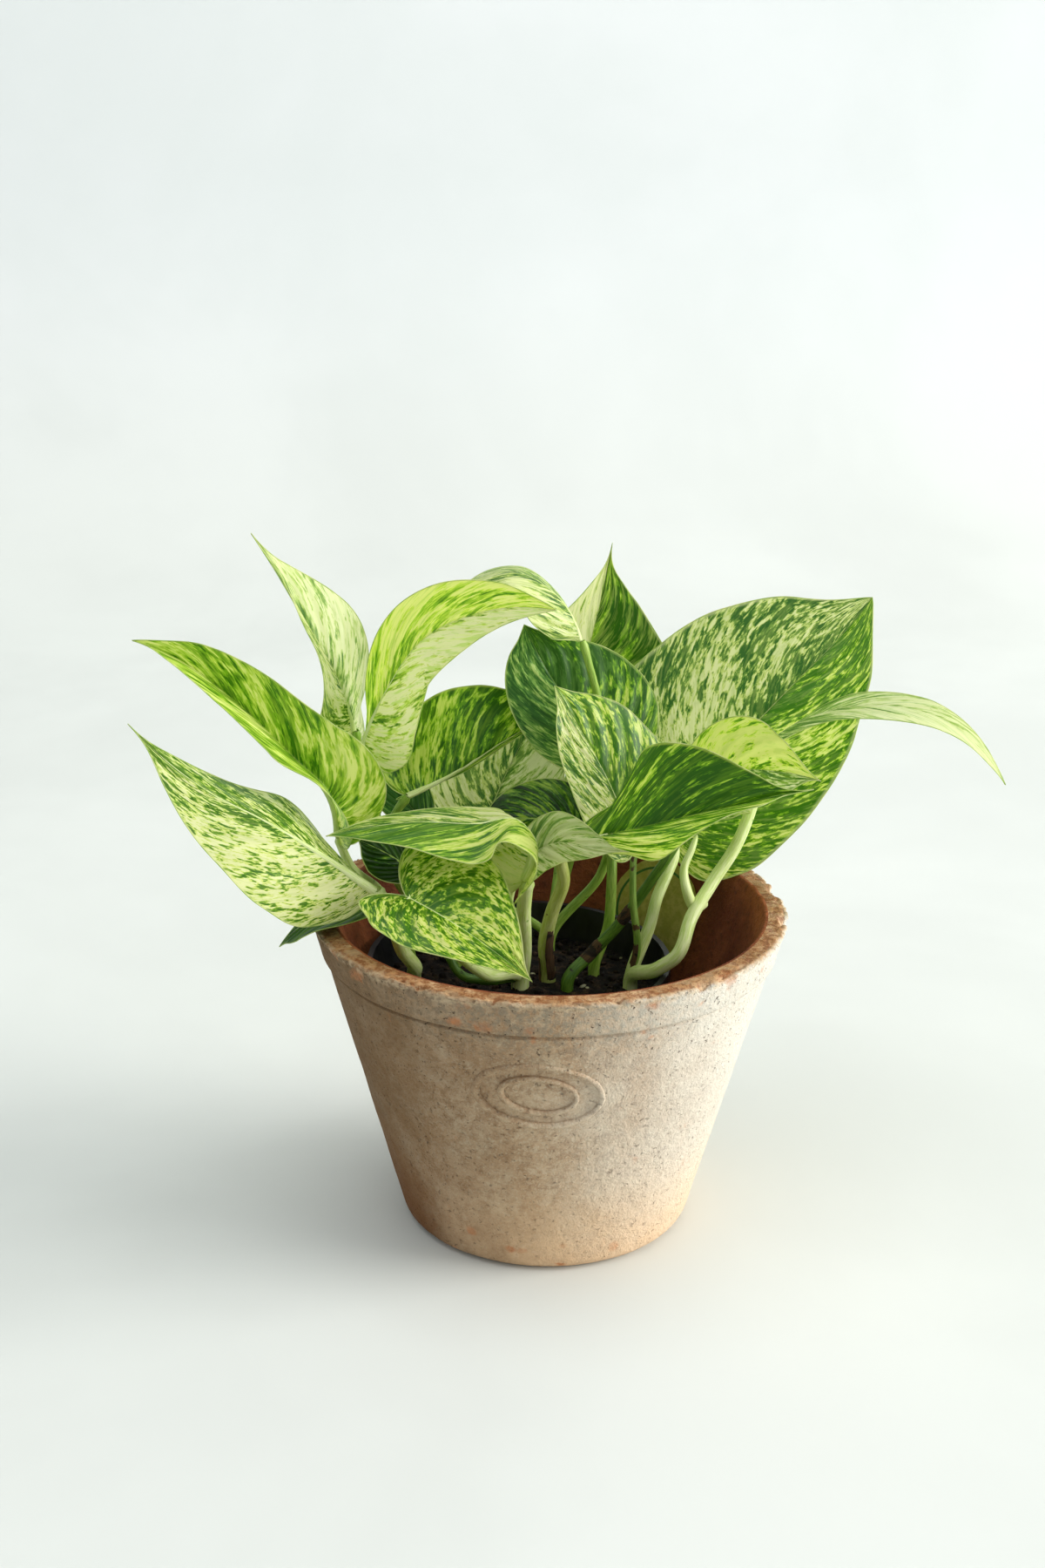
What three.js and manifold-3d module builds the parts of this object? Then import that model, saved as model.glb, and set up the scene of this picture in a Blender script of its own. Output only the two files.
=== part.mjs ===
// Potted variegated pothos, a trailing aroid, in an aged terracotta pot.
// Units are millimetres and +Z is up. The origin is the centre of the pot's foot,
// on the surface that the pot stands on. -Y is the front of the plant.

import * as THREE from "three";
import { mergeVertices } from "three/addons/utils/BufferGeometryUtils.js";
import Module from "manifold-3d";

const wasm = await Module();
wasm.setup();

// Clearance between neighbouring pieces
const GAP = 0.3;

// Terracotta pot: a tapered shell with a low band under its lip
const POT = {
  height: 118,
  lipOuter: 85,
  lipInner: 76.4,
  lipRound: 1.2,
  bandHeight: 13,
  bandProud: 1.2,
  grooveDepth: 0.8,
  grooveHeight: 2,
  footOuter: 52,
  footRound: 5,
  floorInner: 46,
  floor: 9,
  floorRound: 4,
  segments: 60,
  drainHoles: 3,
  drainRadius: 4.5,
  drainCircle: 26,
};

// Black nursery pot, which stands inside a little left of the middle
const NURSERY = {
  x: -10.5,
  y: 3.5,
  height: 86.7,
  rimRadius: 55,
  footRadius: 34.5,
  wall: 1,
  rimBand: 5,
  rimProud: 1,
  segments: 48,
  drainHoles: 6,
  drainRadius: 4,
  drainCircle: 22,
};

// Soil in the nursery pot, with a plain hole for each stalk that stands in it
const SOIL = { edge: 83, crown: 1.5, holeFloor: 66, holeTop: 90, segments: 40, holeSides: 10 };

// Stems: where each comes out of the soil
const STEM_FOOT = 68;
const STEM_RISE = 86.5;
const STEMS = {
  left: { x: -49, y: 8 },
  back_left: { x: -34, y: 23 },
  back: { x: 1, y: 38 },
  centre: { x: 0, y: 10 },
  front_left: { x: -10, y: 3 },
  diagonal: { x: 7, y: 2 },
  arch: { x: 17, y: 15 },
  right: { x: 30, y: 4 },
};

// Round paper label stuck to the inside of the terracotta wall
const LABEL = { radius: 20, thickness: 0.6, azimuth: 52, height: 93, rings: 3, spokes: 24 };

// Leaf blades: rows follow the side veins, columns run from the rib to the margin
const BLADE = {
  thickness: 0.7,
  rows: 10,
  columns: 3,
  widest: 0.28,
  veinSweep: 2.2,
  claspReach: 0.5,
  cup: 0.1,
  frames: 40,
};

// Half outline of a blade: x runs along the rib from the sinus to the tip,
// y is a share of the half width. The first points are the lobe behind the sinus.
const OUTLINE = [
  [0, 0],
  [-0.07, 0.26],
  [-0.085, 0.58],
  [0.03, 0.89],
  [0.28, 1],
  [0.55, 0.84],
  [0.77, 0.5],
  [0.91, 0.17],
  [1, 0],
];
const OUTLINE_ASPECT = 0.33;

// Stalks: round tubes that taper to a small end just short of the blade
const STALK = { sides: 6, pitch: 8.5, endRadius: 0.6 };

// A bare hooked shoot on the stem at the right
const SHOOT = {
  stem: "right",
  path: [
    [56, 8, 116],
    [52, 3, 117],
    [49, 1, 124],
    [48, 4, 130],
    [51, 8, 137],
    [53, 12, 141],
  ],
  radii: [1.8, 2.2, 2, 1.8, 1.6, 1.4, 1.2, 0.8],
};

const COLOURS = {
  terracotta: 0xb49d84,
  nursery: 0x16171a,
  soil: 0x2a211c,
  paper: 0xc8b48e,
  pale: 0xcfdb98,
  green: 0x7fae42,
  dark: 0x3f7030,
  stalk: 0xb9cd88,
};

// Each leaf: the rib's points from the sinus to the tip, and the widest point of the
// left and right margins, seen on the upper face with the tip away. taper and baseTaper
// narrow the outline towards its ends, clasp folds the halves near the sinus, in degrees,
// and lobe shortens the part behind it. The stalk runs on from the stem's foot, or from
// a branch point on another stalk, and its radius falls between the two values.
const LEAVES = [
  {
    name: "leaf_low_left",
    rib: [
      [-59, -34, 137],
      [-70, -37, 146],
      [-93, -40, 162],
      [-116, -36, 173],
      [-142, -28, 193],
    ],
    left: [-94, -58, 141],
    right: [-85, -12, 158],
    colour: "pale",
    taper: 1.8,
    clasp: [-50, -25],
    lobe: 0.3,
    stem: "left",
    stalk: [
      [-48, 0, 93],
      [-52, -12, 105],
      [-55, -26, 123],
    ],
    stalkRadius: [3, 2],
  },
  {
    name: "leaf_upper_left",
    rib: [
      [-74, -8, 146],
      [-78, -9, 164],
      [-88, -8, 174],
      [-106, -4, 191],
      [-129, 2, 207],
      [-146, 8, 212],
    ],
    left: [-94, -28, 180],
    right: [-72, -13, 185],
    colour: "green",
    baseTaper: 1.7,
    clasp: [20, -60],
    lobe: 0.4,
    stem: "left",
    stalk: [
      [-53, 12, 102],
      [-61, 10, 118],
      [-71, -3, 134],
    ],
    stalkRadius: [2, 1.6],
  },
  {
    name: "leaf_top_left",
    rib: [
      [-70, 24, 175],
      [-77, 26, 195],
      [-89, 30, 216],
      [-107, 36, 244],
    ],
    left: [-76, 8, 196],
    right: [-65, 45, 204],
    colour: "pale",
    taper: 1.7,
    clasp: [-80, -40],
    stem: "back_left",
    stalk: [
      [-56, 27, 116],
      [-66, 25, 144],
      [-69, 26, 161],
    ],
    stalkRadius: [2, 1.5],
  },
  {
    name: "leaf_arched_left",
    rib: [
      [-68, 8, 172],
      [-59, 12, 192],
      [-46, 14, 211],
      [-26, 8, 223],
      [1, -2, 227],
    ],
    left: [-67, 22, 207],
    right: [-48, -4, 188],
    colour: "pale",
    taper: 1.2,
    baseTaper: 1.6,
    clasp: [-80, -50],
    lobe: 0.1,
    stem: "back_left",
    stalk: [
      [-54, 24, 117],
      [-63, 15, 147],
      [-66, 11, 162],
    ],
    stalkRadius: [2.3, 1.7],
  },
  {
    name: "leaf_back_arch",
    rib: [
      [11, 32, 207],
      [2, 37, 222],
      [-13, 40, 230],
      [-29, 42, 226],
      [-41, 44, 213],
    ],
    left: [-10, 20, 224],
    right: [2, 58, 221],
    colour: "green",
    baseTaper: 3,
    clasp: [-30, -30],
    lobe: 0,
    stem: "arch",
    stalk: [
      [22, 18, 102],
      [23, 20, 118],
      [22, 27, 144],
      [20, 30, 167],
      [17, 33, 185],
      [13, 32, 200],
    ],
    stalkRadius: [2.2, 1.3],
  },
  {
    name: "leaf_back_point",
    rib: [
      [13, 76, 162],
      [14, 80, 185],
      [19, 83, 209],
      [23, 84, 231],
    ],
    left: [-5, 72, 186],
    right: [47, 76, 182],
    colour: "green",
    taper: 2,
    stem: "back",
    stalk: [
      [4, 58, 108],
      [8, 70, 143],
    ],
    stalkRadius: [2, 1.4],
  },
  {
    name: "leaf_centre_dark",
    rib: [
      [22, 34, 161],
      [9, 38, 178],
      [-2, 42, 194],
      [-10, 46, 209],
    ],
    left: [-11, 34, 173],
    right: [34, 50, 189],
    colour: "dark",
    stem: "back",
    stalk: [
      [20, 40, 115],
      [24, 36, 141],
    ],
    stalkRadius: [2, 1.5],
  },
  {
    name: "leaf_mid_left",
    rib: [
      [-51, 16, 153],
      [-34, 26, 159],
      [-18, 36, 167],
      [3, 50, 175],
    ],
    left: [-45, 38, 183],
    right: [-32, 31, 156],
    colour: "dark",
    clasp: [-40, -40],
    stem: "back_left",
    stalk: [
      [-51, 28, 112],
      [-58, 20, 139],
    ],
    stalkRadius: [2.2, 1.5],
  },
  {
    name: "leaf_right_large",
    rib: [
      [45, 46, 133],
      [68, 50, 161],
      [90, 54, 185],
      [107, 59, 202],
      [119, 64, 216],
    ],
    left: [33, 64, 190],
    right: [93, 32, 138],
    colour: "green",
    taper: 0.9,
    stem: "right",
    stalk: [
      [37, 7, 109],
      [39, 11, 116],
      [43, 18, 123],
      [46, 26, 127],
      [46, 36, 131],
    ],
    stalkRadius: [2.6, 1.8],
  },
  {
    name: "leaf_right_slim",
    rib: [
      [79, 28, 171],
      [92, 17, 184],
      [111, 6, 192],
      [134, -6, 191],
      [156, -14, 170],
    ],
    left: [96, 31, 184],
    right: [90, -10, 191],
    colour: "green",
    baseTaper: 3,
    clasp: [-20, -20],
    stem: "right",
    stalk: [
      [39, -10, 98],
      [45, -11, 103],
      [51, -2, 115],
      [59, 7, 125],
      [67, 13, 136],
      [74, 21, 152],
    ],
    stalkRadius: [2.8, 2],
  },
  {
    name: "leaf_right_cupped",
    rib: [
      [55, 6, 157],
      [65, 2, 168],
      [78, -8, 172],
      [92, -18, 172],
    ],
    left: [57, 18, 180],
    right: [67, -14, 161],
    colour: "green",
    taper: 1.4,
    clasp: [-10, -40],
    stem: "diagonal",
    stalk: [
      [16, 8, 96],
      [26, 8, 108],
      [32, 6, 118],
      [37, 4, 127],
      [42, 2, 136],
      [49, 4, 148],
    ],
    stalkRadius: [2.5, 1.5],
  },
  {
    name: "leaf_front_right",
    rib: [
      [9, -12, 147],
      [31, -30, 159],
      [53, -38, 168],
      [68, -42, 173],
      [86, -44, 178],
    ],
    left: [30, -24, 186],
    right: [43, -52, 166],
    colour: "green",
    taper: 1.7,
    baseTaper: 1.3,
    clasp: [-60, -100],
    stem: "centre",
    stalk: [
      [-1, 6, 100],
      [1, 2, 114],
      [5, -2, 128],
      [4, -6, 139],
    ],
    stalkRadius: [3.2, 2],
  },
  {
    name: "leaf_centre_mottled",
    rib: [
      [30, 4, 138],
      [21, 12, 160],
      [11, 18, 177],
      [1, 22, 193],
    ],
    left: [9, 2, 157],
    right: [44, 28, 164],
    colour: "green",
    stem: "right",
    stalk: [
      [32, 2, 100],
      [30, 2, 120],
    ],
    stalkRadius: [1.5, 1.2],
  },
  {
    name: "leaf_curled_front",
    rib: [
      [-8, -22, 136],
      [-5, -24, 151],
      [-12, -26, 160],
      [-25, -28, 159],
      [-45, -30, 160],
      [-76, -34, 156],
    ],
    left: [-18, -44, 158],
    right: [-14, -8, 158],
    colour: "green",
    clasp: [0, -100],
    stem: "front_left",
    stalk: [
      [-9, -2, 101],
      [-9, -16, 124],
    ],
    stalkRadius: [3.6, 2.3],
  },
  {
    name: "leaf_small_centre",
    rib: [
      [-8, -10, 138],
      [2, -22, 150],
      [14, -32, 152],
      [26, -38, 153],
    ],
    left: [-1, -14, 158],
    right: [-1, -22, 140],
    colour: "pale",
    taper: 1.6,
    lobe: 0.5,
    stem: "front_left",
    stalk: [
      [-13, 2, 106],
      [-14, -4, 122],
    ],
    stalkRadius: [1.5, 1.2],
  },
  {
    name: "leaf_front_heart",
    rib: [
      [-49, -40, 137],
      [-36, -46, 132],
      [-21, -52, 124],
      [-6, -56, 113],
    ],
    left: [-24, -26, 148],
    right: [-51, -58, 128],
    colour: "green",
    taper: 1.4,
    lobe: 1.8,
    stem: "front_left",
    stalk: [
      [-22, -14, 97],
      [-34, -26, 112],
      [-43, -34, 125],
    ],
    stalkRadius: [2.8, 1.8],
  },
  {
    name: "leaf_low_dark",
    rib: [
      [-49, 8, 127],
      [-59, 4, 136],
      [-68, 2, 141],
    ],
    left: [-62, 0, 128],
    right: [-57, 14, 144],
    colour: "dark",
    stem: "front_left",
    stalk: [
      [-22, -2, 89],
      [-31, 0, 90],
      [-37, 2, 99],
      [-43, 6, 111],
    ],
    stalkRadius: [2, 1.3],
  },
  {
    name: "leaf_centre_streaked",
    rib: [
      [11, 14, 143],
      [-7, 16, 145],
      [-26, 18, 143],
    ],
    left: [0, 12, 131],
    right: [0, 28, 156],
    colour: "dark",
    stem: "centre",
    branch: true,
    stalk: [
      [1, 6, 108],
      [6, 22, 119],
    ],
    stalkRadius: [1.8, 1.3],
  },
  {
    name: "leaf_back_left",
    rib: [
      [-45, 38, 133],
      [-57, 42, 149],
      [-64, 48, 165],
    ],
    left: [-67, 36, 149],
    right: [-50, 48, 158],
    colour: "dark",
    stem: "back_left",
    stalk: [
      [-44, 34, 107],
    ],
    stalkRadius: [1.8, 1.3],
  },
  {
    name: "leaf_back_mid",
    rib: [
      [-25, 46, 128],
      [-18, 50, 146],
      [-10, 54, 162],
      [-3, 58, 174],
    ],
    left: [-46, 60, 148],
    right: [4, 48, 140],
    colour: "dark",
    stem: "back",
    stalk: [
      [-19, 42, 104],
    ],
    stalkRadius: [1.8, 1.4],
  },
  {
    name: "leaf_under_left",
    rib: [
      [-60, -4, 121],
      [-71, -16, 123],
      [-84, -22, 120],
      [-94, -24, 111],
    ],
    left: [-68, -30, 123],
    right: [-73, 6, 118],
    colour: "pale",
    lobe: 0.2,
    stem: "left",
    stalk: [
      [-51, 2, 103],
    ],
    stalkRadius: [1.8, 1.2],
  },
];

// Smooth curve through points, with an even speed between them
function smoothPath(points) {
  const p = points.map((a) => new THREE.Vector3(...a));
  const steps = p.slice(1).map((b, i) => b.distanceTo(p[i]));
  const length = steps.reduce((sum, h) => sum + h, 0);
  const slopes = p.slice(1).map((b, i) => b.clone().sub(p[i]).divideScalar(steps[i]));
  const tangents = p.map((_, i) => {
    if (i === 0 || i === p.length - 1) return null;
    const before = steps[i - 1];
    const after = steps[i];
    const blend = slopes[i - 1].clone().multiplyScalar(after);
    return blend.addScaledVector(slopes[i], before).divideScalar(before + after);
  });
  const last = p.length - 1;
  const straight = p.length === 2;
  tangents[0] = slopes[0].clone().multiplyScalar(straight ? 1 : 2);
  tangents[last] = slopes[last - 1].clone().multiplyScalar(straight ? 1 : 2);
  if (!straight) {
    tangents[0].sub(tangents[1]);
    tangents[last].sub(tangents[last - 1]);
  }
  function at(u) {
    let t = Math.min(Math.max(u, 0), 1) * length;
    let i = 0;
    while (i < steps.length - 1 && t > steps[i]) {
      t -= steps[i];
      i += 1;
    }
    const h = steps[i];
    const s = t / h;
    const s2 = s * s;
    const s3 = s2 * s;
    const point = p[i].clone().multiplyScalar(2 * s3 - 3 * s2 + 1);
    point.addScaledVector(p[i + 1], 3 * s2 - 2 * s3);
    point.addScaledVector(tangents[i], (s3 - 2 * s2 + s) * h);
    point.addScaledVector(tangents[i + 1], (s3 - s2) * h);
    const beyond = u < 0 ? u * length : u > 1 ? (u - 1) * length : 0;
    return point.addScaledVector(tangents[u < 0 ? 0 : last], beyond);
  }
  function direction(u) {
    const step = 0.004;
    const from = at(Math.max(u - step, 0));
    const to = at(Math.min(u + step, 1));
    return to.sub(from).normalize();
  }
  return { length, at, direction };
}

// Turns a direction so that it stays square to the curve, with the least roll
function squareTo(direction, along) {
  return direction.clone().addScaledVector(along, -direction.dot(along)).normalize();
}

// Outline of a half blade, as a curve of its own
const outlineCurve = smoothPath(OUTLINE.map(([x, y]) => [x, y * OUTLINE_ASPECT, 0]));

const outlineWidest = (() => {
  let s = 0;
  while (outlineCurve.at(s).x < BLADE.widest) s += 0.01;
  return s;
})();

function marginAt(s, leaf) {
  const point = outlineCurve.at(s);
  const y = Math.max(point.y / OUTLINE_ASPECT, 0);
  const power = s > outlineWidest ? (leaf.taper ?? 1) : (leaf.baseTaper ?? 1);
  const x = point.x < 0 ? point.x * (leaf.lobe ?? 1) : point.x;
  return [x, y ** power];
}

// The blade as a surface: place(x, y) gives a point, y from -1 (left) to 1 (right)
function bladeSurface(leaf) {
  const rib = smoothPath(leaf.rib);
  const widest = BLADE.widest;
  const along = rib.direction(widest);
  const middle = rib.at(widest);
  const toLeft = new THREE.Vector3(...leaf.left).sub(middle);
  const toRight = new THREE.Vector3(...leaf.right).sub(middle);
  const side = squareTo(toRight.clone().sub(toLeft), along);
  const normals = new Map();
  const { frames } = BLADE;
  const start = Math.round(widest * frames);
  normals.set(start, side.clone().cross(along).normalize());
  for (let i = start + 1; i <= frames; i += 1) {
    normals.set(i, squareTo(normals.get(i - 1), rib.direction(i / frames)));
  }
  for (let i = start - 1; i >= 0; i -= 1) {
    normals.set(i, squareTo(normals.get(i + 1), rib.direction(i / frames)));
  }
  function frameAt(x) {
    const t = Math.min(Math.max(x, 0), 1);
    const i = Math.min(Math.floor(t * frames), frames - 1);
    const tangent = rib.direction(t);
    const mixed = normals.get(i).clone().lerp(normals.get(i + 1), t * frames - i);
    const normal = squareTo(mixed, tangent);
    return { tangent, normal, side: tangent.clone().cross(normal) };
  }
  const home = frameAt(start / frames);
  const halves = [toLeft, toRight].map((v, i) => ({
    clasp: (leaf.clasp ?? [0, 0])[i],
    size: v.length(),
    out: Math.abs(v.dot(home.side)),
    rise: v.dot(home.normal),
    sweep: v.dot(home.tangent),
  }));
  return function place(x, y) {
    const half = halves[y < 0 ? 0 : 1];
    const v = Math.abs(y);
    const { tangent, normal, side: across } = frameAt(x);
    const nearBase = THREE.MathUtils.clamp(1 - x / BLADE.claspReach, 0, 1);
    const clasp = THREE.MathUtils.degToRad(half.clasp) * nearBase * nearBase;
    const out = half.out * Math.cos(clasp) - half.rise * Math.sin(clasp);
    const rise = half.out * Math.sin(clasp) + half.rise * Math.cos(clasp);
    const bulge = BLADE.cup * half.size * v * (1 - v);
    return rib
      .at(x)
      .addScaledVector(across, out * Math.sign(y) * v)
      .addScaledVector(normal, rise * v + bulge)
      .addScaledVector(tangent, half.sweep * v);
  };
}

// A closed thin blade: the same triangles on both faces, joined round the margin
function bladeGeometry(leaf) {
  const place = bladeSurface(leaf);
  const { rows, columns, thickness } = BLADE;
  const points = [];
  const indexOf = new Map();
  function vertex(half, row, column) {
    const atEnd = row === 0 || row === rows;
    const key = atEnd ? `end${row}` : column === 0 ? `rib${row}` : `${half} ${row} ${column}`;
    if (!indexOf.has(key)) {
      const s = row / rows;
      const ribX = s ** BLADE.veinSweep;
      const [marginX, marginY] = marginAt(s, leaf);
      const v = column / columns;
      const x = row === 0 ? 0 : ribX + (marginX - ribX) * v;
      indexOf.set(key, points.length);
      points.push(place(x, row === 0 ? 0 : half * marginY * v));
    }
    return indexOf.get(key);
  }
  const triangles = [];
  for (const half of [-1, 1]) {
    for (let row = 0; row < rows; row += 1) {
      for (let column = 0; column < columns; column += 1) {
        const a = vertex(half, row, column);
        const b = vertex(half, row, column + 1);
        const c = vertex(half, row + 1, column + 1);
        const d = vertex(half, row + 1, column);
        const faces = [
          [a, b, c],
          [a, c, d],
        ];
        for (const face of faces) {
          if (new Set(face).size === 3) triangles.push(half > 0 ? face : face.reverse());
        }
      }
    }
  }
  const normals = points.map(() => new THREE.Vector3());
  for (const [a, b, c] of triangles) {
    const ab = points[b].clone().sub(points[a]);
    const ac = points[c].clone().sub(points[a]);
    const facing = ab.cross(ac);
    for (const i of [a, b, c]) normals[i].add(facing);
  }
  const count = points.length;
  const positions = [];
  for (const sign of [1, -1]) {
    points.forEach((point, i) => {
      const offset = normals[i].clone().setLength((sign * thickness) / 2);
      positions.push(...point.clone().add(offset).toArray());
    });
  }
  const margin = [];
  for (let row = 0; row <= rows; row += 1) margin.push(vertex(1, row, columns));
  for (let row = rows - 1; row > 0; row -= 1) margin.push(vertex(-1, row, columns));
  const index = [];
  for (const [a, b, c] of triangles) index.push(a, b, c, a + count, c + count, b + count);
  margin.forEach((a, i) => {
    const b = margin[(i + 1) % margin.length];
    index.push(a, a + count, b + count, a, b + count, b);
  });
  const geometry = new THREE.BufferGeometry();
  geometry.setAttribute("position", new THREE.Float32BufferAttribute(positions, 3));
  geometry.setIndex(index);
  return geometry;
}

// A closed tube along a smooth path, with its radius set at each ring
function tubeGeometry(path, radii) {
  const rings = radii.length;
  const positions = [];
  const index = [];
  let side = null;
  for (let ring = 0; ring < rings; ring += 1) {
    const u = ring / (rings - 1);
    const centre = path.at(u);
    const tangent = path.direction(u);
    side = squareTo(side ?? new THREE.Vector3(1, 0.1, 0), tangent);
    const up = tangent.clone().cross(side);
    for (let i = 0; i < STALK.sides; i += 1) {
      const angle = (2 * Math.PI * i) / STALK.sides;
      const point = centre.clone();
      point.addScaledVector(side, radii[ring] * Math.cos(angle));
      point.addScaledVector(up, radii[ring] * Math.sin(angle));
      positions.push(...point.toArray());
    }
  }
  const n = STALK.sides;
  for (let ring = 0; ring < rings - 1; ring += 1) {
    for (let i = 0; i < n; i += 1) {
      const a = ring * n + i;
      const b = ring * n + ((i + 1) % n);
      index.push(a, b, b + n, a, b + n, a + n);
    }
  }
  const end = (rings - 1) * n;
  for (let i = 1; i < n - 1; i += 1) {
    index.push(0, i + 1, i);
    index.push(end, end + i, end + i + 1);
  }
  const geometry = new THREE.BufferGeometry();
  geometry.setAttribute("position", new THREE.Float32BufferAttribute(positions, 3));
  geometry.setIndex(index);
  return geometry;
}

// Solids for cutting and joining
function toSolid(geometry) {
  const plain = new THREE.BufferGeometry();
  plain.setAttribute("position", geometry.getAttribute("position").clone());
  plain.setIndex(geometry.getIndex());
  const merged = mergeVertices(plain, 1e-4);
  const triVerts = new Uint32Array(merged.index.array);
  const vertProperties = new Float32Array(merged.attributes.position.array);
  return new wasm.Manifold(new wasm.Mesh({ numProp: 3, vertProperties, triVerts }));
}

function toGeometry(solid) {
  const mesh = solid.getMesh();
  const geometry = new THREE.BufferGeometry();
  geometry.setAttribute("position", new THREE.BufferAttribute(mesh.vertProperties, 3));
  geometry.setIndex(new THREE.BufferAttribute(mesh.triVerts, 1));
  return geometry;
}

// A turned solid round the Z axis from a profile of [radius, height] points
function turned(profile, segments) {
  const points = profile.map(([radius, height]) => new THREE.Vector2(radius, height));
  return new THREE.LatheGeometry(points, segments).rotateX(Math.PI / 2);
}

// Points of a quarter round between two directions, in degrees
function arc(centreRadius, centreHeight, radius, from, to, steps) {
  return Array.from({ length: steps + 1 }, (_, i) => {
    const angle = THREE.MathUtils.degToRad(from + ((to - from) * i) / steps);
    return [centreRadius + radius * Math.cos(angle), centreHeight + radius * Math.sin(angle)];
  });
}

function cylinderSolid(x, y, bottom, top, radius, sides) {
  const geometry = new THREE.CylinderGeometry(radius, radius, top - bottom, sides);
  return toSolid(geometry.rotateX(Math.PI / 2).translate(x, y, (top + bottom) / 2));
}

function ringOfHoles(solid, count, circle, radius, top) {
  let cut = solid;
  for (let i = 0; i < count; i += 1) {
    const angle = (2 * Math.PI * (i + 0.5)) / count;
    const x = circle * Math.cos(angle);
    const y = circle * Math.sin(angle);
    cut = cut.subtract(cylinderSolid(x, y, -1, top, radius, 16));
  }
  return cut;
}

// Outer radius of the terracotta wall below its band
function potOuter(height) {
  const wallTop = POT.lipOuter - POT.bandProud;
  return POT.footOuter + ((wallTop - POT.footOuter) * height) / POT.height;
}

function potInner(height) {
  const share = (height - POT.floor) / (POT.height - POT.floor);
  return POT.floorInner + (POT.lipInner - POT.floorInner) * share;
}

function terracottaPot() {
  const top = POT.height;
  const bandFoot = top - POT.bandHeight;
  const round = POT.lipRound;
  const footCentre = potOuter(POT.footRound) - POT.footRound;
  const floorTop = POT.floor + POT.floorRound;
  const floorCentre = potInner(floorTop) - POT.floorRound;
  const profile = [
    [0, 0],
    [footCentre, 0],
    ...arc(footCentre, POT.footRound, POT.footRound, -60, 0, 3),
    [potOuter(bandFoot - POT.grooveHeight), bandFoot - POT.grooveHeight],
    [potOuter(bandFoot) - POT.grooveDepth, bandFoot - POT.grooveHeight / 2],
    [potOuter(bandFoot) + POT.bandProud, bandFoot + 1],
    ...arc(POT.lipOuter - round, top - round, round, 0, 90, 2),
    ...arc(POT.lipInner + round, top - round, round, 90, 180, 2),
    [potInner(top / 2), top / 2],
    ...arc(floorCentre, floorTop, POT.floorRound, 0, -90, 2),
    [0, POT.floor],
  ];
  const shell = toSolid(turned(profile, POT.segments));
  const holeTop = POT.floor + 1;
  return ringOfHoles(shell, POT.drainHoles, POT.drainCircle, POT.drainRadius, holeTop);
}

// Radius of the nursery pot's outside, measured from its own floor
function nurseryOuter(height) {
  const share = height / NURSERY.height;
  return NURSERY.footRadius + (NURSERY.rimRadius - NURSERY.rimProud - NURSERY.footRadius) * share;
}

function nurseryPot() {
  const { height, wall, rimBand } = NURSERY;
  const inner = (z) => nurseryOuter(z) - wall;
  const profile = [
    [0, 0],
    [nurseryOuter(0) - 2, 0],
    [nurseryOuter(2), 2],
    [nurseryOuter(height - rimBand), height - rimBand],
    [NURSERY.rimRadius, height - rimBand],
    [NURSERY.rimRadius, height],
    [inner(height), height],
    [inner(2), 2],
    [inner(2) - 2, wall],
    [0, wall],
  ];
  const shell = toSolid(turned(profile, NURSERY.segments));
  const holeTop = wall + 1;
  return ringOfHoles(shell, NURSERY.drainHoles, NURSERY.drainCircle, NURSERY.drainRadius, holeTop);
}

const nurseryFloor = POT.floor + GAP;

function soilBody() {
  const bottom = NURSERY.wall + GAP;
  const edge = SOIL.edge - nurseryFloor;
  const inner = (z) => nurseryOuter(z) - NURSERY.wall - GAP - 0.2;
  const mound = [1, 0.8, 0.6, 0.4, 0.2];
  const profile = [
    [0, bottom],
    [inner(4) - 3, bottom],
    [inner(4), 4],
    ...mound.map((share) => [inner(edge) * share, edge + SOIL.crown * (1 - share * share)]),
    [0, edge + SOIL.crown],
  ];
  return toSolid(turned(profile, SOIL.segments).translate(NURSERY.x, NURSERY.y, nurseryFloor));
}

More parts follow.
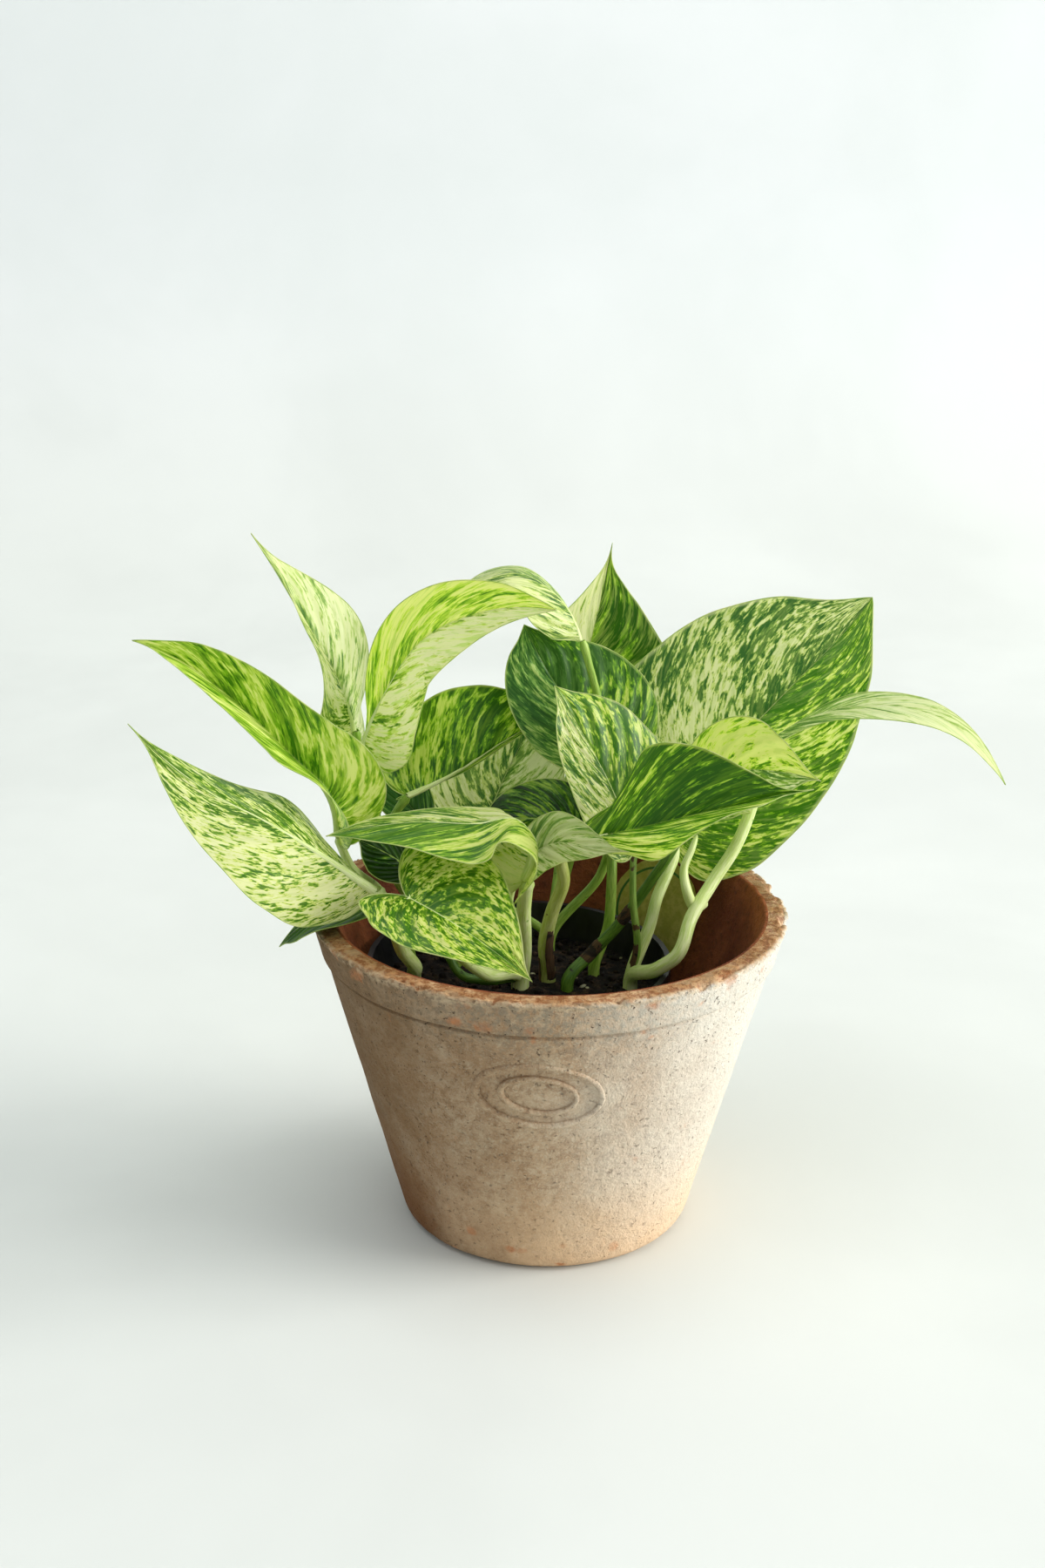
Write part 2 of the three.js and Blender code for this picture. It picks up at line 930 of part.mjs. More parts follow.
// Paper disc bent round the inside of the wall
function paperLabel() {
  const positions = [];
  const index = [];
  const wallRadius = potInner(LABEL.height);
  function place(ring, spoke, depth) {
    const radius = (LABEL.radius * ring) / LABEL.rings;
    const angle = (2 * Math.PI * spoke) / LABEL.spokes;
    const height = LABEL.height + radius * Math.sin(angle);
    const azimuth = THREE.MathUtils.degToRad(LABEL.azimuth);
    const turn = azimuth + (radius * Math.cos(angle)) / wallRadius;
    const r = potInner(height) - GAP - 0.25 - depth;
    positions.push(r * Math.cos(turn), r * Math.sin(turn), height);
  }
  const perFace = 1 + LABEL.rings * LABEL.spokes;
  for (const depth of [0, LABEL.thickness]) {
    place(0, 0, depth);
    for (let ring = 1; ring <= LABEL.rings; ring += 1) {
      for (let spoke = 0; spoke < LABEL.spokes; spoke += 1) place(ring, spoke, depth);
    }
  }
  const at = (ring, spoke) => (ring ? 1 + (ring - 1) * LABEL.spokes + (spoke % LABEL.spokes) : 0);
  const faces = [];
  for (let ring = 0; ring < LABEL.rings; ring += 1) {
    for (let spoke = 0; spoke < LABEL.spokes; spoke += 1) {
      const outer = [at(ring + 1, spoke), at(ring + 1, spoke + 1)];
      faces.push([at(ring, spoke), ...outer]);
      if (ring) faces.push([at(ring, spoke), outer[1], at(ring, spoke + 1)]);
    }
  }
  for (const [a, b, c] of faces) index.push(a, b, c, a + perFace, c + perFace, b + perFace);
  for (let spoke = 0; spoke < LABEL.spokes; spoke += 1) {
    const a = at(LABEL.rings, spoke);
    const b = at(LABEL.rings, spoke + 1);
    index.push(a, a + perFace, b + perFace, a, b + perFace, b);
  }
  const geometry = new THREE.BufferGeometry();
  geometry.setAttribute("position", new THREE.Float32BufferAttribute(positions, 3));
  geometry.setIndex(index);
  return toSolid(geometry);
}

// A stalk from its stem's foot, or from another stalk, to a little short of its blade
function stalkSolid(leaf, blade) {
  const stem = STEMS[leaf.stem];
  const [thick, thin] = leaf.stalkRadius;
  const sinus = new THREE.Vector3(...leaf.rib[0]);
  const before = new THREE.Vector3(...leaf.stalk[leaf.stalk.length - 1]);
  const arrival = sinus.clone().sub(before).normalize();
  const foot = [STEM_FOOT, STEM_RISE - 2.5, STEM_RISE].map((z) => [stem.x, stem.y, z]);
  let short = GAP + BLADE.thickness / 2;
  let solid = null;
  for (let tries = 0; tries < 8; tries += 1) {
    const end = sinus.clone().addScaledVector(arrival, -short).toArray();
    const path = smoothPath([...(leaf.branch ? [] : foot), ...leaf.stalk, end]);
    const rings = Math.max(4, Math.round(path.length / STALK.pitch));
    const radii = Array.from({ length: rings + 1 }, (_, i) => {
      return thick + (thin - thick) * (i / rings);
    });
    radii[rings] = STALK.endRadius;
    solid = toSolid(tubeGeometry(path, radii));
    const gap = solid.minGap(blade, 3 * GAP);
    if (Math.abs(gap - GAP) < GAP / 10) break;
    short += GAP - gap;
  }
  return solid;
}

const part = new THREE.Group();

function addPiece(name, geometry, colour, roughness) {
  const material = new THREE.MeshStandardMaterial({ color: colour, roughness, metalness: 0 });
  const mesh = new THREE.Mesh(geometry, material);
  mesh.name = name;
  part.add(mesh);
  return mesh;
}

addPiece("terracotta_pot", toGeometry(terracottaPot()), COLOURS.terracotta, 0.9);
const nursery = addPiece("nursery_pot", toGeometry(nurseryPot()), COLOURS.nursery, 0.5);
nursery.position.set(NURSERY.x, NURSERY.y, nurseryFloor);

let soil = soilBody();
for (const [stem, { x, y }] of Object.entries(STEMS)) {
  const stalks = LEAVES.filter((leaf) => leaf.stem === stem);
  const radius = Math.max(...stalks.map((leaf) => leaf.stalkRadius[0]));
  const hole = (radius + GAP) / Math.cos(Math.PI / SOIL.holeSides);
  soil = soil.subtract(
    cylinderSolid(x, y, SOIL.holeFloor, SOIL.holeTop, hole, SOIL.holeSides),
  );
}
addPiece("soil", toGeometry(soil), COLOURS.soil, 0.95);
addPiece("paper_label", toGeometry(paperLabel()), COLOURS.paper, 0.85);

// Stalks that grow from one foot are one piece
const stems = new Map();
for (const leaf of LEAVES) {
  const geometry = bladeGeometry(leaf);
  const stalk = stalkSolid(leaf, toSolid(geometry));
  stems.set(leaf.stem, stems.has(leaf.stem) ? stems.get(leaf.stem).add(stalk) : stalk);
  addPiece(leaf.name, geometry, COLOURS[leaf.colour], 0.45);
}
const shoot = toSolid(tubeGeometry(smoothPath(SHOOT.path), SHOOT.radii));
stems.set(SHOOT.stem, stems.get(SHOOT.stem).add(shoot));
for (const [name, solid] of stems) {
  addPiece(`stem_${name}`, toGeometry(solid), COLOURS.stalk, 0.5);
}

export default part;
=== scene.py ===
"""A variegated pothos in a black nursery pot that stands inside a weathered clay pot."""
import math
import random

import bmesh
import bpy
from mathutils import Matrix, Vector, noise


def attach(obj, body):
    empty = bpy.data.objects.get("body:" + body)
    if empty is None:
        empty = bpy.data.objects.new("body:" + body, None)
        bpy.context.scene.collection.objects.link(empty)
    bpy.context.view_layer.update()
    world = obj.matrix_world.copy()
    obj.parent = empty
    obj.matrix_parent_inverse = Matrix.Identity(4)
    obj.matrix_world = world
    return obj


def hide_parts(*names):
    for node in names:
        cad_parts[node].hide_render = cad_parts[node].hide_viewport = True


MM = 0.001
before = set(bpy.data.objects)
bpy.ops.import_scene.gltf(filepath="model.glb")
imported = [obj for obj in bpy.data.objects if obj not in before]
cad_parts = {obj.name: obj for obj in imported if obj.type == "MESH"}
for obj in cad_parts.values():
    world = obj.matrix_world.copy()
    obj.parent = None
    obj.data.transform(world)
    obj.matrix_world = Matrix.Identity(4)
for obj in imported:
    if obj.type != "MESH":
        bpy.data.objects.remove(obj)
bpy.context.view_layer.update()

# Sizes of the frame's solids, in millimetres
POT_HEIGHT = 118
LIP_OUTER = 85
LIP_INNER = 76.4
LIP_ROUND = 1.2
BAND_HEIGHT = 13
BAND_PROUD = 1.2
GROOVE_HEIGHT = 2
GROOVE_DEPTH = 0.8
GROOVE_MIDDLE = POT_HEIGHT - BAND_HEIGHT - GROOVE_HEIGHT / 2
FOOT_OUTER = 52
FOOT_ROUND = 5
FLOOR_INNER = 46
FLOOR = 9
FLOOR_ROUND = 4
OUTER_SLOPE = (LIP_OUTER - BAND_PROUD - FOOT_OUTER) / POT_HEIGHT
INNER_SLOPE = (LIP_INNER - FLOOR_INNER) / (POT_HEIGHT - FLOOR)
DRAIN_RADIUS = 4.5
DRAIN_CIRCLE = 26
DRAIN_COUNT = 3
NURSERY_X = -10.5
NURSERY_Y = 3.5
SOIL_EDGE = 83
SOIL_CROWN = 1.5
SOIL_RADIUS = 52.8
LABEL_AZIMUTH = 52
LABEL_HEIGHT = 93
LABEL_RADIUS = 20
LABEL_RING = 0.86
STEM_HEIGHTS = (68, 84, 86.5)
STEM_FEET = dict(
    left=(-49, 8), back_left=(-34, 23), back=(1, 38), centre=(0, 10),
    front_left=(-10, 3), diagonal=(7, 2), arch=(17, 15), right=(30, 4),
)
BLADE_WIDEST = 0.28
BLADE_SWEEP = 2.2
BLADE_CUP = 0.1
CLASP_REACH = 0.5
OUTLINE = [
    (0, 0), (-0.07, 0.26), (-0.085, 0.58), (0.03, 0.89), (0.28, 1),
    (0.55, 0.84), (0.77, 0.5), (0.91, 0.17), (1, 0),
]
OUTLINE_ASPECT = 0.33

# How finely the visible meshes are divided
FRAMES = 40
ROWS = 84
COLUMNS = 18
KEEL_RINGS = 36
KEEL_SIDES = 8
STALK_RING = 1.6
STALK_SIDES = 14
HUSK_RINGS = 26
HUSK_SIDES = 10
SHOOT_RINGS = 48
STAMP_STEPS = 160
STAMP_SIDES = 8
POT_TURNS = 420
SOIL_RINGS = 44
SOIL_TURNS = 150
# A direction that no tube starts along
TUBE_START = (0.31, 0.77, 0.55)

# Details of the pot and the soil, in millimetres and degrees. A stamp ring has its half
# width, its half height and its bead's radius
FOOT_SPREAD = 0.16
WORN_AZIMUTH = 18
STAMP_RINGS = ((21.4, 12.6, 1.3), (12.8, 7.2, 1))
STAMP_AZIMUTH = -92.8
STAMP_HEIGHT = 79.2
STAMP_TILT = -0.9
STAMP_SUNK = 1.0
CRUMBS = 420
PALE_CRUMBS = 26
SOIL_STOPS = ((0.35, (12, 9, 8)), (0.5, (28, 20, 16)), (0.62, (58, 42, 30)), (0.72, (96, 74, 54)))
# Azimuth, height, size and strength of the places where the clay shows through
BARE_PATCHES = (
    (-113, 108, 3.2, 0.75), (-105, 107, 3.6, 0.6), (-66, 115, 3.4, 0.8), (-30, 112, 2.6, 0.7),
    (-118, 14, 3, 0.7), (-103, 9, 2.6, 0.7), (-84, 12, 2.4, 0.4), (-64, 8, 3, 0.5),
    (160, 90, 5, 0.6),
)

# The camera, the backdrop and the lights. A light has its place, target and size in
# metres, its power in watts and its colour
CAMERA_AT = (-9.98, -721.66, 413.03)
CAMERA_PITCH = 19.07
CAMERA_ROLL = 0.6
CAMERA_LENS = 50
BACKDROP_WALL = 1100
BACKDROP_BEND = 300
BACKDROP_REACH = 3200
BACKDROP_HEIGHT = 2800
SKY_COLOUR = (0.93, 0.97, 1, 1)
SKY_STRENGTH = 0.565
LIGHTS = dict(
    key=((4.6, -0.4, 1.6), (0, 0, 0.12), 3.5, 314, (1, 0.985, 0.95)),
    top=((-0.2, -0.2, 1.9), (0, 0.3, 0.3), 1.5, 12.5, (0.97, 0.99, 1)),
)

# The bare hooked shoot, and the dry husks on the stalks: the stretch of the stalk, the
# arc round it, both as shares of the whole, and a seed for the ragged edge
SHOOT_STEM = "right"
SHOOT = [(56, 8, 116), (52, 3, 117), (49, 1, 124), (48, 4, 130), (51, 8, 137), (53, 12, 141)]
SHOOT_RADII = (1.8, 2.2, 2, 1.8, 1.6, 1.4, 1.2, 0.8)
HUSKS = dict(
    front_right=((0.05, 0.32, (0.1, 0.42), 1), (0.2, 0.48, (0.55, 0.75), 2)),
    centre_mottled=((0.2, 0.5, (0.3, 0.6), 3), (0.05, 0.3, (0.7, 0.95), 4)),
    right_cupped=((0.27, 0.36, (0, 0.5), 5), (0.46, 0.53, (0.2, 0.7), 6)),
)
# Stalk skins: light streaks, body, marks, the noise level where the marks start, and the
# roughness where it isn't the usual one
STALK_LOOKS = dict(
    pale=((236, 243, 184), (208, 227, 134), (156, 192, 90), 0.68),
    green=((182, 208, 98), (130, 172, 54), (90, 134, 38), 0.66),
    dark=((112, 150, 50), (72, 114, 30), (44, 32, 22), 0.62),
    sheath=((206, 212, 136), (178, 190, 92), (120, 92, 52), 0.66),
    dry=((150, 180, 84), (112, 150, 54), (96, 74, 44), 0.6),
    husk=((112, 82, 50), (70, 48, 32), (40, 28, 20), 0.55, 0.8),
)
SKINS = list(STALK_LOOKS)
STALK_GLOW = 0.22
MARGIN_TONES = ((196, 216, 128), (230, 236, 176))
MARGIN_GLOW = 0.62
MARGIN_BEAD = 0.18

# The marbling's noises: periods per millimetre along the rib and outwards, an offset to
# the seed, and the noise's detail, roughness and warp
MARBLING = dict(
    fleck=(0.46, 0.27, 0, 2.4, 0.52, 0.5),
    patch=(0.075, 0.045, 9, 2, 0.5, 0.2),
    speck=(1.1, 0.9, 4, 2, 0.6, 0),
    cloud=(0.4, 0.16, 31, 3, 0.6, 0.3),
    streak=(1.1, 0.12, 17, 3, 0.6, 0.2),
)
FLECK_SHARE = 1.15
PATCH_SHARE = 0.7
SPECK_SHARE = 0.4
FLECK_EDGE = 0.015
FLECK_BLUR = 0.085
COVER_GAIN = 0.62
LEAF_GLOW = 0.38
GLOW_TINT = (190, 225, 90)
# Width of the midrib at the base and the tip, in half widths
RIB_WIDTH = (0.017, 0.006)
# Side veins along a blade, how far they reach towards the tip, in half widths, and how
# deep they pucker the blade, in millimetres
SIDE_VEINS = 9
VEIN_LEAN = 0.4
VEIN_CURVE = 0.3
PUCKER = 0.26
# The length that the veins are spread over, in rib lengths
VEIN_REACH = 1.25

# Leaf tones, as seen: the ground, the pale marbling, the green and the deep green
TONES = dict(
    cream=((234, 236, 174), (212, 224, 118), (112, 158, 40), (60, 110, 18)),
    lime=((230, 239, 138), (198, 222, 82), (120, 172, 28), (60, 116, 8)),
    # A paler, yellower copy of lime that paints the glow of light through a backlit blade
    painted_backlight=((240, 248, 136), (218, 242, 80), (134, 190, 30), (74, 134, 10)),
    green=((202, 219, 100), (156, 194, 50), (90, 142, 16), (42, 90, 4)),
    deep=((158, 188, 62), (100, 142, 30), (46, 94, 10), (20, 54, 2)),
    grey=((222, 228, 168), (188, 208, 118), (122, 162, 62), (74, 120, 34)),
    frost=((228, 233, 168), (200, 215, 116), (106, 146, 58), (54, 102, 36)),
    blue=((186, 208, 122), (134, 174, 82), (88, 138, 56), (48, 96, 34)),
)
# What a leaf is where its entry doesn't say otherwise
USUAL = dict(
    taper=1, base_taper=1, lobe=1, clasp=(0, 0), skin="green", finish="green", tip=0, wave=1,
)
LEAVES = {}


def grow(name, **entry):
    LEAVES[name] = {**USUAL, **entry}


# The leaves, in millimetres: the rib from the sinus to the tip, the widest points of the
# left and right margins, the stalk from its stem's foot, and its radius at both ends.
# Taper, base_taper and lobe shape the outline, and clasp turns the left and right halves
# up at the base, in degrees. Tone names the two halves' tones, and cover is their green
# share, to which tip is added towards the tip. Flecks has the size, the stretch and the
# softness of the flecks, and wave the height of the ripples. Finish is pale, green or dark
grow(
    "low_left", stem="left", radius=(3, 2), skin="pale", taper=1.8, lobe=0.3, clasp=(-50, -25),
    rib=[(-59, -34, 137), (-70, -37, 146), (-93, -40, 162), (-116, -36, 173), (-142, -28, 193)],
    left=(-94, -58, 141), right=(-85, -12, 158), stalk=[(-48, 0, 93), (-52, -12, 105), (-55, -26, 123)],
    tone=("cream", "cream"), cover=(0.36, 0.42), tip=0.2, flecks=(0.8, 0.8, 0), wave=1.2, finish="pale",
)
grow(
    "upper_left", stem="left", radius=(2, 1.6), skin="pale", base_taper=1.7, lobe=0.4, clasp=(20, -60),
    rib=[(-74, -8, 146), (-78, -9, 164), (-88, -8, 174), (-106, -4, 191), (-129, 2, 207), (-146, 8, 212)],
    left=(-94, -28, 180), right=(-72, -13, 185), stalk=[(-53, 12, 102), (-61, 10, 118), (-71, -3, 134)],
    tone=("lime", "lime"), cover=(0.44, 0.52), flecks=(1.3, 0.9, 0.9),
)
grow(
    "top_left", stem="back_left", radius=(2, 1.5), taper=1.7, clasp=(-80, -40),
    rib=[(-70, 24, 175), (-77, 26, 195), (-89, 30, 216), (-107, 36, 244)],
    left=(-76, 8, 196), right=(-65, 45, 204), stalk=[(-56, 27, 116), (-66, 25, 144), (-69, 26, 161)],
    tone=("cream", "grey"), cover=(0.3, 0.28), tip=0.1, flecks=(0.9, 1.2, 0.6), finish="pale",
)
grow(
    "arched_left", stem="back_left", radius=(2.3, 1.7), taper=0.9, base_taper=2.6, lobe=0.1,
    clasp=(-80, -50),
    rib=[(-68, 8, 172), (-59, 12, 192), (-46, 14, 211), (-26, 8, 223), (1, -2, 227)],
    left=(-67, 22, 207), right=(-48, -4, 188), stalk=[(-54, 24, 117), (-63, 15, 147), (-66, 11, 162)],
    # The left half's tone paints the glow of backlight through the blade
    tone=("painted_backlight", "cream"), cover=(0.42, 0.28), tip=-0.1, flecks=(1.3, 1, 1), wave=1.2, finish="pale",
)
grow(
    "back_arch", stem="arch", radius=(2.2, 1.3), base_taper=3, lobe=0, clasp=(-30, -30),
    rib=[(11, 32, 207), (2, 37, 222), (-13, 40, 230), (-29, 42, 226), (-41, 44, 213)],
    left=(-10, 20, 224), right=(2, 58, 221),
    stalk=[(22, 18, 102), (23, 20, 118), (22, 27, 144), (20, 30, 167), (17, 33, 185), (13, 32, 200)],
    tone=("frost", "grey"), cover=(0.34, 0.3), flecks=(1.1, 1.4, 0.7), wave=0.8,
)
grow(
    "back_point", stem="back", radius=(2, 1.4), taper=2,
    rib=[(13, 76, 162), (14, 80, 185), (19, 83, 209), (23, 84, 231)],
    left=(-5, 72, 186), right=(47, 76, 182), stalk=[(4, 58, 108), (8, 70, 143)],
    tone=("cream", "green"), cover=(0.25, 0.84), tip=-0.1, flecks=(1.3, 1.5, 0.8), wave=0.8,
)
grow(
    "centre_dark", stem="back", radius=(2, 1.5),
    rib=[(22, 34, 161), (9, 38, 178), (-2, 42, 194), (-10, 46, 209)],
    left=(-11, 34, 173), right=(34, 50, 189), stalk=[(20, 40, 115), (24, 36, 141)],
    tone=("blue", "green"), cover=(0.5, 0.6), tip=0.2, flecks=(1.1, 0.9, 0.5), finish="dark",
)
grow(
    "mid_left", stem="back_left", radius=(2.2, 1.5), clasp=(-40, -40),
    rib=[(-51, 16, 153), (-34, 26, 159), (-18, 36, 167), (3, 50, 175)],
    left=(-45, 38, 183), right=(-32, 31, 156), stalk=[(-51, 28, 112), (-58, 20, 139)],
    tone=("green", "lime"), cover=(0.52, 0.62), flecks=(1.1, 1, 0.2), finish="dark",
)
grow(
    "right_large", stem="right", radius=(2.6, 1.8), skin="pale", taper=0.9,
    rib=[(45, 46, 133), (68, 50, 161), (90, 54, 185), (107, 59, 202), (119, 64, 216)],
    left=(33, 64, 190), right=(93, 32, 138),
    stalk=[(37, 7, 109), (39, 11, 116), (43, 18, 123), (46, 26, 127), (46, 36, 131)],
    tone=("frost", "lime"), cover=(0.58, 0.62), tip=-0.05, flecks=(0.95, 1, 0.2), wave=1.4,
)
grow(
    "right_slim", stem="right", radius=(2.8, 2), skin="pale", base_taper=3, clasp=(-20, -20),
    rib=[(79, 28, 171), (92, 17, 184), (111, 6, 192), (134, -6, 191), (156, -14, 170)],
    left=(96, 31, 184), right=(90, -10, 191),
    stalk=[(39, -10, 98), (45, -11, 103), (51, -2, 115), (59, 7, 125), (67, 13, 136), (74, 21, 152)],
    tone=("grey", "grey"), cover=(0.62, 0.5), tip=-0.5, flecks=(1, 2, 0.8), wave=0.8,
)
grow(
    "right_cupped", stem="diagonal", radius=(2.5, 1.5), skin="dark", taper=1.4, clasp=(-10, -40),
    rib=[(55, 6, 157), (65, 2, 168), (78, -8, 172), (92, -18, 172)],
    left=(57, 18, 180), right=(67, -14, 161),
    stalk=[(16, 8, 96), (26, 8, 108), (32, 6, 118), (37, 4, 127), (42, 2, 136), (49, 4, 148)],
    # The left half's tone paints the glow of backlight through the blade
    tone=("painted_backlight", "grey"), cover=(0.26, 0.44), flecks=(0.8, 0.8, 0.1), wave=0.9,
)
grow(
    "front_right", stem="centre", radius=(3.2, 2), skin="sheath", taper=1.7, base_taper=1.3,
    clasp=(-60, -100),
    rib=[(9, -12, 147), (31, -30, 159), (53, -38, 168), (68, -42, 173), (86, -44, 178)],
    left=(30, -24, 186), right=(43, -52, 166),
    stalk=[(-1, 6, 100), (1, 2, 114), (5, -2, 128), (4, -6, 139)],
    tone=("green", "lime"), cover=(0.72, 0.5), flecks=(0.9, 1.2, 0.15),
)
grow(
    "centre_mottled", stem="right", radius=(1.5, 1.2), skin="dry",
    rib=[(30, 4, 138), (21, 12, 160), (11, 18, 177), (1, 22, 193)],
    left=(9, 2, 157), right=(44, 28, 164), stalk=[(32, 2, 100), (30, 2, 120)],
    tone=("cream", "lime"), cover=(0.46, 0.64), flecks=(0.9, 0.8, 0.1),
)
grow(
    "curled_front", stem="front_left", radius=(3.6, 2.3), skin="pale", clasp=(0, -100),
    rib=[
        (-8, -22, 136), (-5, -24, 151), (-12, -26, 160), (-25, -28, 159),
        (-45, -30, 160), (-76, -34, 156),
    ],
    left=(-18, -44, 158), right=(-14, -8, 158), stalk=[(-9, -2, 101), (-9, -16, 124)],
    tone=("lime", "cream"), cover=(0.26, 0.1), tip=0.55, flecks=(0.9, 1.5, 0.3),
)
grow(
    "small_centre", stem="front_left", radius=(1.5, 1.2), skin="pale", taper=1.6, lobe=0.5,
    rib=[(-8, -10, 138), (2, -22, 150), (14, -32, 152), (26, -38, 153)],
    left=(-1, -14, 158), right=(-1, -22, 140), stalk=[(-13, 2, 106), (-14, -4, 122)],
    tone=("grey", "grey"), cover=(0.42, 0.36), tip=-0.2, flecks=(0.9, 1.6, 0.5), wave=0.5,
    finish="pale",
)
grow(
    "front_heart", stem="front_left", radius=(2.8, 1.8), skin="pale", taper=1.4, lobe=1.8,
    rib=[(-49, -40, 137), (-36, -46, 132), (-21, -52, 124), (-6, -56, 113)],
    left=(-24, -26, 148), right=(-51, -58, 128),
    stalk=[(-22, -14, 97), (-34, -26, 112), (-43, -34, 125)],
    tone=("lime", "lime"), cover=(0.56, 0.6), tip=-0.1, flecks=(0.85, 0.6, 0), wave=1.1,
)
grow(
    "low_dark", stem="front_left", radius=(2, 1.3), skin="dark",
    rib=[(-49, 8, 127), (-59, 4, 136), (-68, 2, 141)],
    left=(-62, 0, 128), right=(-57, 14, 144),
    stalk=[(-22, -2, 89), (-31, 0, 90), (-37, 2, 99), (-43, 6, 111)],
    tone=("deep", "deep"), cover=(0.9, 0.9), flecks=(1, 1.3, 0.1), wave=0.6, finish="dark",
)
grow(
    "centre_streaked", stem="centre", radius=(1.8, 1.3),
    rib=[(11, 14, 143), (-7, 16, 145), (-26, 18, 143)],
    left=(0, 12, 131), right=(0, 28, 156), stalk=[(1, 6, 108), (6, 22, 119)],
    tone=("deep", "deep"), cover=(0.62, 0.62), flecks=(1.2, 2, 0), wave=0.6, finish="dark",
)
grow(
    "back_left", stem="back_left", radius=(1.8, 1.3),
    rib=[(-45, 38, 133), (-57, 42, 149), (-64, 48, 165)],
    left=(-67, 36, 149), right=(-50, 48, 158), stalk=[(-44, 34, 107)],
    tone=("blue", "blue"), cover=(0.8, 0.8), flecks=(1.2, 1.4, 0.4), wave=0.8, finish="dark",
)
grow(
    "back_mid", stem="back", radius=(1.8, 1.4),
    rib=[(-25, 46, 128), (-18, 50, 146), (-10, 54, 162), (-3, 58, 174)],
    left=(-46, 60, 148), right=(4, 48, 140), stalk=[(-19, 42, 104)],
    tone=("frost", "grey"), cover=(0.42, 0.36), flecks=(1.1, 1.4, 0.3), wave=0.9, finish="dark",
)
grow(
    "under_left", stem="left", radius=(1.8, 1.2), lobe=0.2,
    rib=[(-60, -4, 121), (-71, -16, 123), (-84, -22, 120), (-94, -24, 111)],
    left=(-68, -30, 123), right=(-73, 6, 118), stalk=[(-51, 2, 103)],
    tone=("green", "green"), cover=(0.75, 0.75), tip=0.1, flecks=(1, 1.2, 0.4), wave=0.6, finish="pale",
)


def linear(value):
    """One sRGB channel, 0 to 255, as linear light."""
    value /= 255
    return value / 12.92 if value <= 0.04045 else ((value + 0.055) / 1.055) ** 2.4


def rgba(colour):
    return (*[linear(channel) for channel in colour], 1)


def pot_outer(height):
    return height * OUTER_SLOPE + FOOT_OUTER


def pot_inner(height):
    return (height - FLOOR) * INNER_SLOPE + FLOOR_INNER


def turned(radius, angle, height=0):
    """The place at a radius and an angle round an upright axis, and at a height."""
    return Vector((radius * math.cos(angle), radius * math.sin(angle), height))


def square_to(direction, along):
    """The part of a direction that is square to another, at length 1."""
    return (direction - along * direction.dot(along)).normalized()


def clamp(value):
    return min(max(value, 0), 1)


def smoothstep(low, high, value):
    t = clamp((value - low) / (high - low))
    return t * t * (3 - 2 * t)


def noise_at(point, scale=1, seed=0):
    """Smooth noise from about -1 to 1."""
    return noise.noise(Vector(point) * scale + Vector((seed, seed * 1.7, -seed)))


def between(values, t):
    """The place at t, from 0 to 1, along a list of evenly spaced values."""
    reach = t * (len(values) - 1)
    i = min(int(reach), len(values) - 2)
    return values[i] + (values[i + 1] - values[i]) * (reach - i)


class SmoothPath:
    """A smooth curve through points, with an even speed between them."""

    def __init__(self, points):
        self.points = [Vector(point) for point in points]
        pairs = list(zip(self.points, self.points[1:]))
        self.steps = [(b - a).length for a, b in pairs]
        self.length = sum(self.steps)
        slopes = [(b - a) / (b - a).length for a, b in pairs]
        inner = []
        for i, (before, after) in enumerate(zip(self.steps, self.steps[1:])):
            inner.append((slopes[i] * after + slopes[i + 1] * before) / (before + after))
        first = slopes[0] * 2 - inner[0] if inner else slopes[0]
        last = slopes[-1] * 2 - inner[-1] if inner else slopes[0]
        self.tangents = [first, *inner, last]

    def at(self, u):
        reach = u * self.length
        if reach <= 0:
            return self.points[0] + self.tangents[0] * reach
        if reach >= self.length:
            return self.points[-1] + self.tangents[-1] * (reach - self.length)
        i = 0
        while reach > self.steps[i] and i < len(self.steps) - 1:
            reach -= self.steps[i]
            i += 1
        step = self.steps[i]
        t = reach / step
        return (
            self.points[i] * (2 * t**3 - 3 * t**2 + 1) + self.tangents[i] * step * (t**3 - 2 * t**2 + t)
            + self.points[i + 1] * (-2 * t**3 + 3 * t**2) + self.tangents[i + 1] * step * (t**3 - t**2)
        )

    def direction(self, u):
        reach = 0.004
        return (self.at(min(u + reach, 1)) - self.at(max(u - reach, 0))).normalized()


OUTLINE_CURVE = SmoothPath([(x, y * OUTLINE_ASPECT, 0) for x, y in OUTLINE])
OUTLINE_WIDEST = next(
    i / 100 for i in range(101) if OUTLINE_CURVE.at(i / 100).x >= BLADE_WIDEST
)


def margin_at(s, leaf):
    """The margin of a blade at s, as shares of the rib's length and the half width."""
    point = OUTLINE_CURVE.at(s)
    y = max(point.y / OUTLINE_ASPECT, 0)
    power = leaf["taper"] if s > OUTLINE_WIDEST else leaf["base_taper"]
    x = point.x * leaf["lobe"] if point.x < 0 else point.x
    return x, y**power


